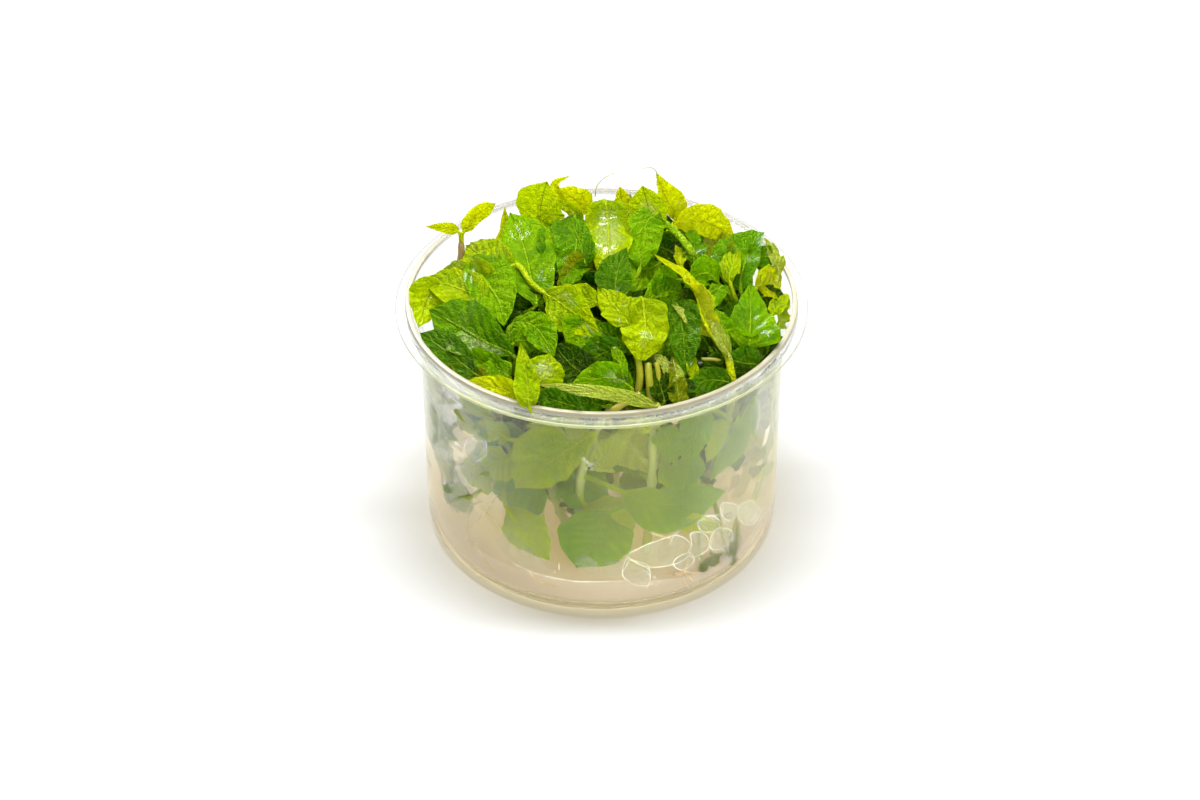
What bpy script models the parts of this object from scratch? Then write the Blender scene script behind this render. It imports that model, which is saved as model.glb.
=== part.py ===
# Hygrophila in a clear tissue-culture cup, for Blender 4.5.
# The cup stands on z = 0 with its axis on Z, and the plant's best side faces -Y.
# Lengths below are in millimetres and become metres where vertices are made.

import math

import bmesh
import bpy
from mathutils import Quaternion, Vector
from mathutils.bvhtree import BVHTree

MM = 0.001
SMOOTH_BELOW = math.radians(40.0)
MERGE_BELOW = 1e-6

# The cup: a thin moulded tub with a lip for a snap lid and a flange around it
ROUND_STEPS = 40
CUP_HEIGHT = 65.0
FLANGE_RADIUS = 50.0
FLANGE_TOP = 63.4
FLANGE_THICKNESS = 0.8
LIP_OUTER_RADIUS = 47.5
LIP_INNER_RADIUS = 46.3
LIP_ROUNDING = 0.4
STEP_BOTTOM = 58.6
STEP_TOP = 61.4
STEP_CHAMFER = (0.7, 0.9)
STEP_FILLET = 0.4
STEP_THICKENING = 0.8
WALL_TOP_RADIUS = 44.3
WALL_FOOT_RADIUS = 43.8
WALL = 0.9
CORNER_RADIUS = 4.5
CORNER_STEPS = 3
FOOT_RING_INNER_RADIUS = 34.0
FOOT_SLOPE = 1.0
FOOT_RECESS = 0.6
FLOOR_TOP = 1.5

# The gel: it fills the cup's floor and has sunk at the front right
GEL_GAP = 0.3
GEL_TOP = 10.0
GEL_EDGE_RISE = 0.5
GEL_EDGE_WIDTH = 1.5
GEL_INNER_RING = 0.7
GEL_HOLLOW_DEPTH = 4.0
GEL_HOLLOW_ANGLE = math.radians(-45.0)
GEL_HOLLOW_SPREAD = math.radians(24.0)

# Stems are round and a little thinner at the top
STEM_RINGS = 7
STEM_CORNERS_LEVEL = 1
STEM_FOOT_RADIUS = 1.15
STEM_HEAD_RADIUS = 0.85
STEM_START = GEL_TOP + 0.7

# Leaves
LEAF_THICKNESS = 0.4
LEAF_CLEARANCE = 0.3
LEAF_CELLS_ALONG = 6
LEAF_CELLS_ACROSS = 4
STALK_HALF_WIDTH = 0.5
BELLY = 0.8
FULLNESS = 0.75
SETTLE_STEP = 0.5
SETTLE_TRIES = 12
SETTLE_ROLLS = (0.0, 8.0, -8.0, 16.0, -16.0)
SETTLE_SLIDES = (0.0, 0.03, 0.06, 0.09)

# Colour, roughness of each finish
FINISHES = {
    "clear": ((0.86, 0.88, 0.87), 0.12),
    "gel": ((0.72, 0.62, 0.46), 0.35),
    "stem": ((0.42, 0.52, 0.10), 0.40),
    "young": ((0.50, 0.64, 0.02), 0.38),
    "mid": ((0.24, 0.44, 0.02), 0.36),
    "deep": ((0.09, 0.24, 0.02), 0.32),
    "pale": ((0.60, 0.66, 0.28), 0.34),
}

# Each stem: foot on the gel (x, y), a point half way up, and its head
STEMS = {
    "stem_01": ((-23, 12), (-32, 16, 40), (-34.5, 18, 69.5)),
    "stem_02": ((-10, 15), (-15, 20, 36), (-16, 21, 64)),
    "stem_03": ((0, 20), (-2, 24, 38), (-2, 25, 68)),
    "stem_04": ((10, 15), (13, 21, 38), (13, 22, 67)),
    "stem_05": ((18, 8), (23, 7, 38), (24, 4, 70)),
    "stem_06": ((26, -3), (34, -5, 34), (36.5, -5, 59)),
    "stem_07": ((20, -18), (28, -24, 34), (31, -28, 60)),
    "stem_08": ((11, -29), (12, -38, 44), (11.3, -35, 63)),
    "stem_09": ((4, -6), (2, -8, 38), (3, -9, 67)),
    "stem_10": ((-8, -22), (-13, -31, 36), (-14, -32, 61)),
    "stem_11": ((-18, -11), (-25, -19, 34), (-21, -28, 62)),
    "stem_12": ((-21, 0), (-27, -3, 34), (-27, -3, 62)),
    "stem_13": ((-5, -28), (-4, -40, 46), (4.5, -38.5, 63)),
}

# Each leaf: its stem and how far up it sits, the points half way along and at the tip,
# its width, the way its upper side faces, its stalk's share, fold and tone
LEAVES = {
    "leaf_01": ("stem_01", 0.99, (-33.5, 22.5, 72.5), (-28, 27, 73), 4.5, (-1, -2, 2), 0.12, 15, "young"),
    "leaf_02": ("stem_01", 0.90, (-39, 16.8, 71.2), (-43.5, 14, 73), 3.2, (0, -2, 2), 0.12, 15, "young"),
    "leaf_03": ("stem_02", 0.97, (-15.5, 24.5, 73), (-14, 29.5, 79), 10.5, (0, -4, 2), 0.25, 12, "young"),
    "leaf_04": ("stem_02", 0.90, (-20, 8, 75.5), (-15.5, -9, 74.5), 15, (1, -3, 4), 0.2, 12, "mid"),
    "leaf_05": ("stem_03", 0.90, (-8.5, 5, 77), (-9.5, -13, 74.5), 14, (0, -2, 4), 0.3, 12, "deep"),
    "leaf_06": ("stem_03", 0.97, (1, 14, 81), (0.5, -2, 71), 10, (0, -2, 2), 0.3, -15, "pale"),
    "leaf_07": ("stem_04", 0.97, (10.5, 20.5, 76), (9.5, 24, 81), 9.5, (0, -4, 2), 0.12, 15, "mid"),
    "leaf_08": ("stem_04", 0.92, (15.5, 26, 73.5), (12.5, 30, 80), 6, (0, -4, 2), 0.12, 15, "young"),
    "leaf_09": ("stem_05", 0.98, (16.5, 13, 76), (10.5, 15, 72.5), 8.5, (-1, -3, 1), 0.3, 20, "deep"),
    "leaf_10": ("stem_05", 0.92, (22, 19, 70.5), (34, 22, 67), 8, (0, -2, 3), 0.25, 15, "young"),
    "leaf_11": ("stem_06", 0.93, (35, 9, 67), (37, 20.5, 69.5), 12.5, (0, -3, 2), 0.2, 15, "deep"),
    "leaf_12": ("stem_06", 0.98, (41.2, 1, 66.5), (44, 7, 66.5), 6, (0, -1, 2), 0.15, 15, "young"),
    "leaf_13": ("stem_06", 0.84, (32.5, 2, 71), (32, -6, 70), 7, (0, -2, 3), 0.4, 25, "young"),
    "leaf_14": ("stem_09", 0.98, (10, -1, 74.5), (6, 4, 77), 7.5, (0, -2, 3), 0.35, 12, "mid"),
    "leaf_15": ("stem_09", 0.97, (4.5, -9.6, 75.2), (5, -3.6, 80.7), 7.5, (0, -4, 3), 0.15, 15, "mid"),
    "leaf_16": ("stem_01", 0.88, (-27, 4, 72), (-33, 12.5, 69), 9.5, (0, -2, 3), 0.3, 12, "mid"),
    "leaf_17": ("stem_12", 0.94, (-33, -3, 72.5), (-23, -18, 70.5), 13, (-1, -2, 4), 0.3, 12, "young"),
    "leaf_18": ("stem_12", 0.90, (-39.5, -2, 66), (-43, -8, 62.5), 10, (-1, -2, 3), 0.4, 12, "young"),
    "leaf_19": ("stem_11", 0.97, (-30.5, -20, 69), (-40.5, -8, 67.5), 14, (1, -2, 4), 0.12, 12, "deep"),
    "leaf_20": ("stem_11", 0.92, (-34, -19.5, 62), (-42, -12, 62.5), 7.5, (0, -1, 3), 0.15, 15, "deep"),
    "leaf_21": ("stem_11", 0.86, (-24, -34.5, 62), (-31.5, -30.5, 62.5), 6.5, (0, -1, 3), 0.15, 15, "young"),
    "leaf_22": ("stem_12", 0.99, (-13, -16.5, 75), (-1, -25.5, 72), 5, (0, 0, 1), 0.4, 15, "young"),
    "leaf_23": ("stem_09", 0.90, (-5, -16, 74.5), (-11.5, -15, 74.5), 7, (0, -1, 3), 0.3, 15, "mid"),
    "leaf_24": ("stem_09", 0.84, (-3, -24, 71.5), (-7, -30, 69.5), 8, (0, -2, 3), 0.3, 15, "mid"),
    "leaf_25": ("stem_09", 0.75, (0, -21, 67), (-1, -30, 65), 9, (0, -1, 3), 0.2, 12, "deep"),
    "leaf_26": ("stem_09", 0.88, (7, -18.4, 73.3), (-1, -14.4, 77.3), 7.5, (0, -2, 3), 0.4, 15, "young"),
    "leaf_27": ("stem_09", 0.66, (9.5, -23.7, 78.4), (10, -34.2, 70.9), 11, (0, -2, 3), 0.3, -10, "young"),
    "leaf_28": ("stem_08", 0.97, (19, -26, 70), (20.5, -17.5, 75), 7.5, (1, -3, 2), 0.2, 15, "deep"),
    "leaf_29": ("stem_13", 0.98, (0.5, -36, 66), (-8, -36.5, 65.5), 7, (0, -2, 3), 0.12, 15, "mid"),
    "leaf_30": ("stem_08", 0.93, (-0.5, -40, 65), (-15.5, -37.5, 66), 4.5, (0, 0, 1), 0.12, 10, "pale"),
    "leaf_31": ("stem_10", 0.80, (-11, -39, 58.5), (-11.5, -37.5, 65.5), 10, (0, -4, 1), 0.2, 12, "deep"),
    "leaf_32": ("stem_10", 0.98, (-11.5, -34, 67), (-15.5, -31, 70.5), 7, (0, -3, 3), 0.15, 15, "young"),
    "leaf_33": ("stem_10", 0.85, (-17.5, -37, 64.5), (-19, -32, 73.5), 8, (0, -4, 2), 0.15, 20, "young"),
    "leaf_34": ("stem_11", 0.99, (-14.5, -27, 72), (-21, -23, 72.5), 7, (0, -3, 3), 0.4, 15, "young"),
    "leaf_35": ("stem_08", 0.82, (25, -31, 65), (17.5, -34.5, 64.5), 8, (0, -1, 3), 0.12, 12, "mid"),
    "leaf_36": ("stem_07", 0.90, (34, -25, 63.5), (38, -19.5, 62.5), 8, (0, -1, 3), 0.2, 12, "deep"),
    "leaf_37": ("stem_07", 0.98, (24, -16, 74.5), (12.5, -6, 80.5), 5.5, (-3, -1, 2), 0.3, 15, "young"),
    "leaf_38": ("stem_06", 0.88, (36.5, -14.5, 66), (36, -8.5, 75), 13, (0, -4, 2), 0.2, 15, "young"),
    "leaf_39": ("stem_13", 0.60, (-10.5, -39.5, 46.5), (-21.5, -35.5, 35.5), 15, (-1, -4, 0), 0.1, 6, "mid"),
    "leaf_40": ("stem_11", 0.45, (-26, -31.5, 36.5), (-30.5, -28.5, 30.5), 9.5, (-3, -4, 0), 0.35, 8, "mid"),
    "leaf_41": ("stem_11", 0.30, (-20, -36, 23), (-12, -39.8, 14), 15, (-1, -4, 0), 0.4, 6, "mid"),
    "leaf_42": ("stem_08", 0.25, (1.5, -40.5, 25), (-6, -40.8, 14), 17, (0, -4, 0), 0.35, 6, "deep"),
    "leaf_43": ("stem_07", 0.75, (23, -35, 51), (19.5, -36.5, 42), 8, (1, -3, 0), 0.3, 8, "mid"),
    "leaf_44": ("stem_06", 0.70, (34, -23.5, 43), (27.5, -31, 33.5), 9, (3, -3, 0), 0.25, 8, "deep"),
    "leaf_45": ("stem_13", 0.38, (16, -38.5, 32), (30, -28.2, 28.5), 11.5, (1, -4, 1), 0.35, 8, "mid"),
}


def clear_scene():
    for item in list(bpy.data.objects):
        bpy.data.objects.remove(item, do_unlink=True)


def make_material(name, finish):
    colour, roughness = FINISHES[finish]
    material = bpy.data.materials.new(name)
    material.use_nodes = True
    shader = material.node_tree.nodes["Principled BSDF"]
    shader.inputs["Base Color"].default_value = (*colour, 1.0)
    shader.inputs["Roughness"].default_value = roughness
    shader.inputs["Metallic"].default_value = 0.0
    if finish == "clear":
        shader.inputs["Transmission Weight"].default_value = 1.0
        shader.inputs["IOR"].default_value = 1.49
    return material


def add_object(name, mesh_builder, finish):
    mesh = bpy.data.meshes.new(name)
    mesh_builder.to_mesh(mesh)
    mesh_builder.free()
    mesh.shade_smooth()
    mesh.set_sharp_from_angle(angle=SMOOTH_BELOW)
    item = bpy.data.objects.new(name, mesh)
    bpy.context.collection.objects.link(item)
    mesh.materials.append(make_material(name, finish))
    return item


def arc(centre_r, centre_z, radius, start, end, steps):
    """Points (r, z) of an arc, its angles in degrees from the outward direction."""
    points = []
    for step in range(steps + 1):
        angle = math.radians(start + (end - start) * step / steps)
        points.append((centre_r + radius * math.cos(angle), centre_z + radius * math.sin(angle)))
    return points


def turn(profile):
    """A closed body from a profile that starts and ends on the axis."""
    body = bmesh.new()
    points = [body.verts.new((r * MM, 0.0, z * MM)) for r, z in profile]
    edges = [body.edges.new(pair) for pair in zip(points, points[1:])]
    bmesh.ops.spin(
        body,
        geom=points + edges,
        cent=(0, 0, 0),
        axis=(0, 0, 1),
        angle=2 * math.pi,
        steps=ROUND_STEPS,
        use_merge=True,
    )
    bmesh.ops.remove_doubles(body, verts=body.verts, dist=MERGE_BELOW)
    bmesh.ops.recalc_face_normals(body, faces=body.faces)
    return body


def cup_profile():
    corner_r = WALL_FOOT_RADIUS - CORNER_RADIUS
    flange_bottom = FLANGE_TOP - FLANGE_THICKNESS
    inner_top = WALL_TOP_RADIUS - WALL
    inner_foot = WALL_FOOT_RADIUS - WALL
    recess_r = FOOT_RING_INNER_RADIUS - FOOT_SLOPE
    outer = [(0, FOOT_RECESS), (recess_r, FOOT_RECESS), (FOOT_RING_INNER_RADIUS, 0)]
    outer += arc(corner_r, CORNER_RADIUS, CORNER_RADIUS, -90, 0, CORNER_STEPS)
    outer += [
        (WALL_TOP_RADIUS, STEP_BOTTOM),
        (LIP_OUTER_RADIUS - STEP_CHAMFER[0], STEP_TOP - STEP_CHAMFER[1]),
        (LIP_OUTER_RADIUS, STEP_TOP),
        (LIP_OUTER_RADIUS, flange_bottom),
        (FLANGE_RADIUS, flange_bottom),
        (FLANGE_RADIUS, FLANGE_TOP),
        (LIP_OUTER_RADIUS, FLANGE_TOP),
        (LIP_OUTER_RADIUS, CUP_HEIGHT - LIP_ROUNDING),
        (LIP_OUTER_RADIUS - LIP_ROUNDING, CUP_HEIGHT),
    ]
    inner = [
        (LIP_INNER_RADIUS + LIP_ROUNDING, CUP_HEIGHT),
        (LIP_INNER_RADIUS, CUP_HEIGHT - LIP_ROUNDING),
        (LIP_INNER_RADIUS, STEP_TOP + STEP_FILLET),
        (LIP_INNER_RADIUS - STEP_FILLET, STEP_TOP - STEP_FILLET / 2),
        (inner_top, STEP_BOTTOM + STEP_THICKENING),
    ]
    inner += arc(corner_r, CORNER_RADIUS + WALL, inner_foot - corner_r, 0, -90, CORNER_STEPS)
    inner += [(0, FLOOR_TOP)]
    return outer + inner


def make_cup():
    return add_object("cup", turn(cup_profile()), "clear")


def gel_hollow(x, y):
    """How far the gel has sunk at a point, in millimetres."""
    turned = math.atan2(y, x) - GEL_HOLLOW_ANGLE
    turned = math.atan2(math.sin(turned), math.cos(turned))
    reach = (math.hypot(x, y) / WALL_FOOT_RADIUS) ** 2
    return GEL_HOLLOW_DEPTH * reach * math.exp(-((turned / GEL_HOLLOW_SPREAD) ** 2))


def make_gel():
    corner_r = WALL_FOOT_RADIUS - CORNER_RADIUS
    edge_r = WALL_FOOT_RADIUS - WALL - GEL_GAP
    profile = [(0, FLOOR_TOP + GEL_GAP)]
    profile += arc(corner_r, CORNER_RADIUS + WALL, edge_r - corner_r, -90, 0, CORNER_STEPS - 1)
    profile += [
        (edge_r, GEL_TOP + GEL_EDGE_RISE),
        (edge_r - GEL_EDGE_WIDTH, GEL_TOP),
        (edge_r * GEL_INNER_RING, GEL_TOP),
        (0, GEL_TOP),
    ]
    body = turn(profile)
    for vert in body.verts:
        if vert.co.z > GEL_TOP * MM - MERGE_BELOW:
            vert.co.z -= gel_hollow(vert.co.x / MM, vert.co.y / MM) * MM
    return add_object("gel", body, "gel")


def curve_through(start, middle, end, t):
    """A point of the quadratic curve that passes the middle point at one half."""
    pull = 2 * middle - (start + end) / 2
    return start * (1 - t) ** 2 + pull * (2 * t * (1 - t)) + end * t**2


def curve_heading(start, middle, end, t):
    pull = 2 * middle - (start + end) / 2
    return ((pull - start) * (2 * (1 - t)) + (end - pull) * (2 * t)).normalized()


def stem_points(name):
    (foot_x, foot_y), middle, head = STEMS[name]
    foot_z = STEM_START - gel_hollow(foot_x, foot_y)
    return Vector((foot_x, foot_y, foot_z)), Vector(middle), Vector(head)


def stem_radius(t):
    return STEM_FOOT_RADIUS + (STEM_HEAD_RADIUS - STEM_FOOT_RADIUS) * t


def make_stem(name):
    line = bpy.data.curves.new(name, "CURVE")
    line.dimensions = "3D"
    line.bevel_depth = MM
    line.bevel_resolution = STEM_CORNERS_LEVEL
    line.use_fill_caps = True
    spline = line.splines.new("POLY")
    spline.points.add(STEM_RINGS - 1)
    points = stem_points(name)
    for step, point in enumerate(spline.points):
        t = step / (STEM_RINGS - 1)
        point.co = (*(curve_through(*points, t) * MM), 1.0)
        point.radius = stem_radius(t)
    line.materials.append(make_material(name, "stem"))
    item = bpy.data.objects.new(name, line)
    bpy.context.collection.objects.link(item)
    return item


def leaf_ends(leaf, place, lift):
    """Base, middle and tip of a leaf's midrib. The lift moves all but the base."""
    stem, _, middle, tip, _, faces, *_ = leaf
    points = stem_points(stem)
    joint = curve_through(*points, place)
    middle = Vector(middle) + Vector(faces).normalized() * lift
    tip = Vector(tip) + Vector(faces).normalized() * lift
    upward = curve_heading(*points, place)
    outward = middle - joint
    outward = (outward - upward * outward.dot(upward)).normalized()
    base = joint + outward * (stem_radius(place) + LEAF_CLEARANCE + LEAF_THICKNESS / 2)
    return base, middle, tip


def leaf_half_width(width, stalk, t):
    if t <= stalk:
        return STALK_HALF_WIDTH
    blade = (t - stalk) / (1 - stalk)
    swell = max(math.sin(math.pi * blade**BELLY), 0.0) ** FULLNESS
    return STALK_HALF_WIDTH + (width / 2 - STALK_HALF_WIDTH) * swell


def build_leaf(leaf, place, lift=0.0, roll=0.0, thickness=LEAF_THICKNESS):
    """A leaf as a thin closed body, bent along its midrib and folded across it."""
    _, _, _, _, width, faces, stalk, fold, _ = leaf
    base, middle, tip = leaf_ends(leaf, place, lift)
    fold = math.radians(fold)
    chord = tip - curve_through(base, middle, tip, stalk)
    sideways = chord.cross(Vector(faces)).normalized()
    sideways.rotate(Quaternion(chord.normalized(), math.radians(roll)))
    body = bmesh.new()
    bmesh.ops.create_grid(body, x_segments=LEAF_CELLS_ALONG, y_segments=LEAF_CELLS_ACROSS, size=1.0)
    for vert in body.verts:
        row = round((vert.co.x + 1) / 2 * LEAF_CELLS_ALONG)
        if row == 0:
            t = 0.0
        else:
            t = stalk + (1 - stalk) * (row - 1) / (LEAF_CELLS_ALONG - 1)
        heading = curve_heading(base, middle, tip, t)
        side = (sideways - heading * sideways.dot(heading)).normalized()
        upper = side.cross(heading)
        reach = leaf_half_width(width, stalk, t) * vert.co.y
        rise = abs(reach) * math.sin(fold)
        midrib = curve_through(base, middle, tip, t)
        vert.co = (midrib + side * (reach * math.cos(fold)) + upper * rise) * MM
    bmesh.ops.recalc_face_normals(body, faces=body.faces)
    shift = thickness / 2 * MM
    body.normal_update()
    for vert in body.verts:
        vert.co -= vert.normal * shift
    bmesh.ops.solidify(body, geom=body.faces[:], thickness=-thickness * MM)
    bmesh.ops.recalc_face_normals(body, faces=body.faces)
    return body


def settle_leaf(leaf, placed):
    """The smallest lift, then roll, then slide down the stem that keeps a leaf clear."""
    for step in range(SETTLE_TRIES + 1):
        for roll in SETTLE_ROLLS:
            for slide in SETTLE_SLIDES:
                for way in (1, -1) if step else (1,):
                    place = leaf[1] - slide
                    lift = way * step * SETTLE_STEP
                    trial = build_leaf(leaf, place, lift, roll, LEAF_THICKNESS + 2 * LEAF_CLEARANCE)
                    tree = BVHTree.FromBMesh(trial)
                    trial.free()
                    if not any(tree.overlap(other) for other in placed):
                        return place, lift, roll
    return None


def tree_of(item):
    evaluated = item.evaluated_get(bpy.context.evaluated_depsgraph_get())
    mesh = evaluated.to_mesh()
    body = bmesh.new()
    body.from_mesh(mesh)
    tree = BVHTree.FromBMesh(body)
    body.free()
    evaluated.to_mesh_clear()
    return tree


def make_leaves(placed):
    for name, leaf in LEAVES.items():
        settled = settle_leaf(leaf, placed)
        if settled is None:
            raise ValueError(f"no room for {name}")
        item = add_object(name, build_leaf(leaf, *settled), leaf[-1])
        placed.append(tree_of(item))


def main():
    clear_scene()
    cup = make_cup()
    gel = make_gel()
    stems = [make_stem(name) for name in STEMS]
    bpy.context.view_layer.update()
    make_leaves([tree_of(item) for item in [cup, gel, *stems]])


main()
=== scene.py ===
# Hygrophila in a clear culture cup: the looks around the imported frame
import math
import random

import bmesh
import bpy
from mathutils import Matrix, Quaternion, Vector


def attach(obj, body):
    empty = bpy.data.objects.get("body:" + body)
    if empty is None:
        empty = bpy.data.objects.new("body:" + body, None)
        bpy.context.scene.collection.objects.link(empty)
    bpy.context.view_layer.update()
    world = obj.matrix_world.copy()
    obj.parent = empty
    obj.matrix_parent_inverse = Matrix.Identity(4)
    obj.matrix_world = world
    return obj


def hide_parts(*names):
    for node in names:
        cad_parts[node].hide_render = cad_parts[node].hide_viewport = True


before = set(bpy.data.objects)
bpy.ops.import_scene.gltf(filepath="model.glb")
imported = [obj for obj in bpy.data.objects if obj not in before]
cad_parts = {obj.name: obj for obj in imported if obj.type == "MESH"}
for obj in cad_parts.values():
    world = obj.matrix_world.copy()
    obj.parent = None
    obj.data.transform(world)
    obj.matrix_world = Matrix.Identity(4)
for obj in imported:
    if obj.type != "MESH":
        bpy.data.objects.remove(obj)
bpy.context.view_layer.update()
mm = 0.001  # the sizes and places below are in millimetres, unless a note says metres
print("frame loaded:", len(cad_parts), "nodes")


# camera, standing where the photographer stood

cameraSetup = {
    "lens": 100.0,
    "sensor": 36.0,
    "tilt": 36.88,  # degrees below level
    "distance": 826.2,  # from the target
    "target": (-0.4, 0.0, 33.5),
}


def placeCamera(setup):
    tilt = math.radians(setup["tilt"])
    data = bpy.data.cameras.new("camera")
    data.lens = setup["lens"]
    data.sensor_width = setup["sensor"]
    camera = bpy.data.objects.new("camera", data)
    bpy.context.scene.collection.objects.link(camera)
    back = Vector((0.0, -math.cos(tilt), math.sin(tilt))) * setup["distance"]
    camera.location = (Vector(setup["target"]) + back) * mm
    camera.rotation_euler = (math.pi / 2 - tilt, 0.0, 0.0)
    bpy.context.scene.camera = camera


placeCamera(cameraSetup)
bpy.context.scene.view_settings.view_transform = "Standard"
print("camera placed")


# shader wiring: arithmetic on sockets, one method for any node, and short ones for what repeats

class wire:
    def __init__(self, finish, socket):
        self.finish = finish
        self.socket = socket

    def __add__(self, other):
        return self.finish.math("ADD", self, other)

    def __radd__(self, other):
        return self.finish.math("ADD", other, self)

    def __sub__(self, other):
        return self.finish.math("SUBTRACT", self, other)

    def __rsub__(self, other):
        return self.finish.math("SUBTRACT", other, self)

    def __mul__(self, other):
        return self.finish.math("MULTIPLY", self, other)

    def __rmul__(self, other):
        return self.finish.math("MULTIPLY", other, self)

    def __gt__(self, other):
        return self.finish.math("GREATER_THAN", self, other)

    def __abs__(self):
        return self.finish.math("ABSOLUTE", self)


class finish:
    def __init__(self, name):
        self.material = bpy.data.materials.new(name)
        self.material.use_nodes = True
        self.tree = self.material.node_tree
        self.tree.nodes.clear()

    def node(self, kind, settings=None, values=None, output=0):
        made = self.tree.nodes.new(kind)
        for key, value in (settings or {}).items():
            setattr(made, key, value)
        for key, value in (values or {}).items():
            if isinstance(value, wire):
                self.tree.links.new(value.socket, made.inputs[key])
            else:
                made.inputs[key].default_value = value
        return wire(self, made.outputs[output]) if made.outputs else None

    def math(self, operation, first, second=0.0):
        return self.node("ShaderNodeMath", {"operation": operation}, {0: first, 1: second})

    def vector(self, operation, first, second=(0.0, 0.0, 0.0), output=0):
        return self.node("ShaderNodeVectorMath", {"operation": operation}, {0: first, 1: second}, output)

    def place(self):  # a point's own coordinates, in metres
        return self.node("ShaderNodeTexCoord", output=3)

    def part(self, vector, axis):
        return self.node("ShaderNodeSeparateXYZ", {}, {0: vector}, axis)

    def stretched(self, where, scale):
        return self.node("ShaderNodeMapping", {}, {"Vector": where, "Scale": scale})

    def noise(self, where, scale, detail=2.0, distortion=0.0):
        return self.node("ShaderNodeTexNoise", {}, {
            "Vector": where, "Scale": scale, "Detail": detail, "Distortion": distortion})

    def net(self, where, scale):  # how far a point is from the edge of its cell
        return self.node("ShaderNodeTexVoronoi", {"feature": "DISTANCE_TO_EDGE"}, {
            "Vector": where, "Scale": scale})

    def ramp(self, value, low, high):  # 0 below low, 1 above high, smooth between
        return self.node("ShaderNodeMapRange", {"interpolation_type": "SMOOTHSTEP"}, {
            "Value": value, "From Min": low, "From Max": high})

    def fall(self, value, low, high):
        return 1.0 - self.ramp(value, low, high)

    def facing(self):  # 0 where the surface faces the eye, 1 at its outline
        return self.node("ShaderNodeLayerWeight", {}, {"Blend": 0.5}, output=1)

    def blend(self, share, first, second):
        return self.node("ShaderNodeMix", {"data_type": "RGBA"}, {0: share, 6: first, 7: second}, output=2)

    def bump(self, height, distance, strength=1.0):
        return self.node("ShaderNodeBump", {}, {
            "Height": height, "Distance": distance, "Strength": strength})

    def surface(self, values):
        return self.node("ShaderNodeBsdfPrincipled", {}, values)

    def through(self, kind, *colour):  # Transparent or Translucent
        return self.node("ShaderNodeBsdf" + kind, {}, {"Color": rgba(*colour)})

    def mix(self, share, first, second):
        return self.node("ShaderNodeMixShader", {}, {0: share, 1: first, 2: second})

    def show(self, shader):
        self.node("ShaderNodeOutputMaterial", {}, {"Surface": shader})
        return self.material


def rgba(red, green, blue):
    return (red, green, blue, 1.0)


def scaled(colour, share):
    return rgba(*(min(value * share, 1.0) for value in colour))


# floor and studio light

studio = {
    "floorSize": 3.0,  # metres
    "world": 0.27,
    "paper": (0.62, 0.65, 0.72),
    "glow": (1.0, 0.80, 0.25),  # the floor glows a little, so the shadow on it stays light and warm
    "glowStrength": 0.2,
    "aim": (0.0, 0.0, 0.04),  # metres
    "lights": {  # place and size in metres, power, whether it shows in gloss and lights the floor
        "overhead": ((0.0, -0.005, 0.98), (0.8, 0.13), 13.5, True, True),
        "behind": ((-0.25, 0.75, 0.85), (0.5, 0.5), 19.0, True, False),
        "front": ((0.3, -0.85, 0.55), (0.6, 0.6), 8.5, False, False),
    },
}


def whitePaper():
    paper = finish("whitePaper")
    grain = paper.noise(paper.place(), 3.0)
    return paper.show(paper.surface({
        "Base Color": paper.blend(grain, rgba(*studio["paper"]), scaled(studio["paper"], 1.02)),
        "Roughness": 0.7,
        "Specular IOR Level": 0.2,
        "Emission Color": rgba(*studio["glow"]),
        "Emission Strength": studio["glowStrength"],
    }))


def layFloor(size):
    mesh = bmesh.new()
    bmesh.ops.create_grid(mesh, x_segments=2, y_segments=2, size=size / 2)
    data = bpy.data.meshes.new("floor")
    mesh.to_mesh(data)
    mesh.free()
    floor = bpy.data.objects.new("floor", data)
    bpy.context.scene.collection.objects.link(floor)
    data.materials.append(whitePaper())
    return floor


def setWorld(strength):
    world = bpy.data.worlds.new("studioWhite")
    world.use_nodes = True
    background = world.node_tree.nodes["Background"]
    background.inputs["Color"].default_value = rgba(1.0, 1.0, 1.0)
    background.inputs["Strength"].default_value = strength
    bpy.context.scene.world = world


def hangLights(lights, floor):
    offFloor = bpy.data.collections.new("offFloor")
    offFloor.objects.link(floor)
    offFloor.collection_objects[0].light_linking.link_state = "EXCLUDE"
    for name, (place, size, power, glossy, onFloor) in lights.items():
        lamp = bpy.data.lights.new(name, "AREA")
        lamp.shape = "ELLIPSE"
        lamp.size, lamp.size_y = size
        lamp.energy = power
        light = bpy.data.objects.new(name, lamp)
        bpy.context.scene.collection.objects.link(light)
        light.location = place
        light.visible_glossy = glossy
        if not onFloor:  # so the floor keeps one short shadow
            light.light_linking.receiver_collection = offFloor
        aim = Vector(studio["aim"]) - Vector(place)
        light.rotation_euler = aim.to_track_quat("-Z", "Y").to_euler()


floor = layFloor(studio["floorSize"])
setWorld(studio["world"])
hangLights(studio["lights"], floor)
print("floor and lights set")


# what several pieces share

creaseAngle = math.radians(50.0)  # edges sharper than this stay sharp


def addPiece(name, mesh, material, slot, *replaced):
    data = bpy.data.meshes.new(name)
    mesh.to_mesh(data)
    mesh.free()
    data.shade_smooth()
    data.set_sharp_from_angle(angle=creaseAngle)
    data.materials.append(material)
    piece = bpy.data.objects.new(name, data)
    bpy.context.scene.collection.objects.link(piece)
    if replaced:
        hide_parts(*replaced)
    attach(piece, "root")


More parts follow.
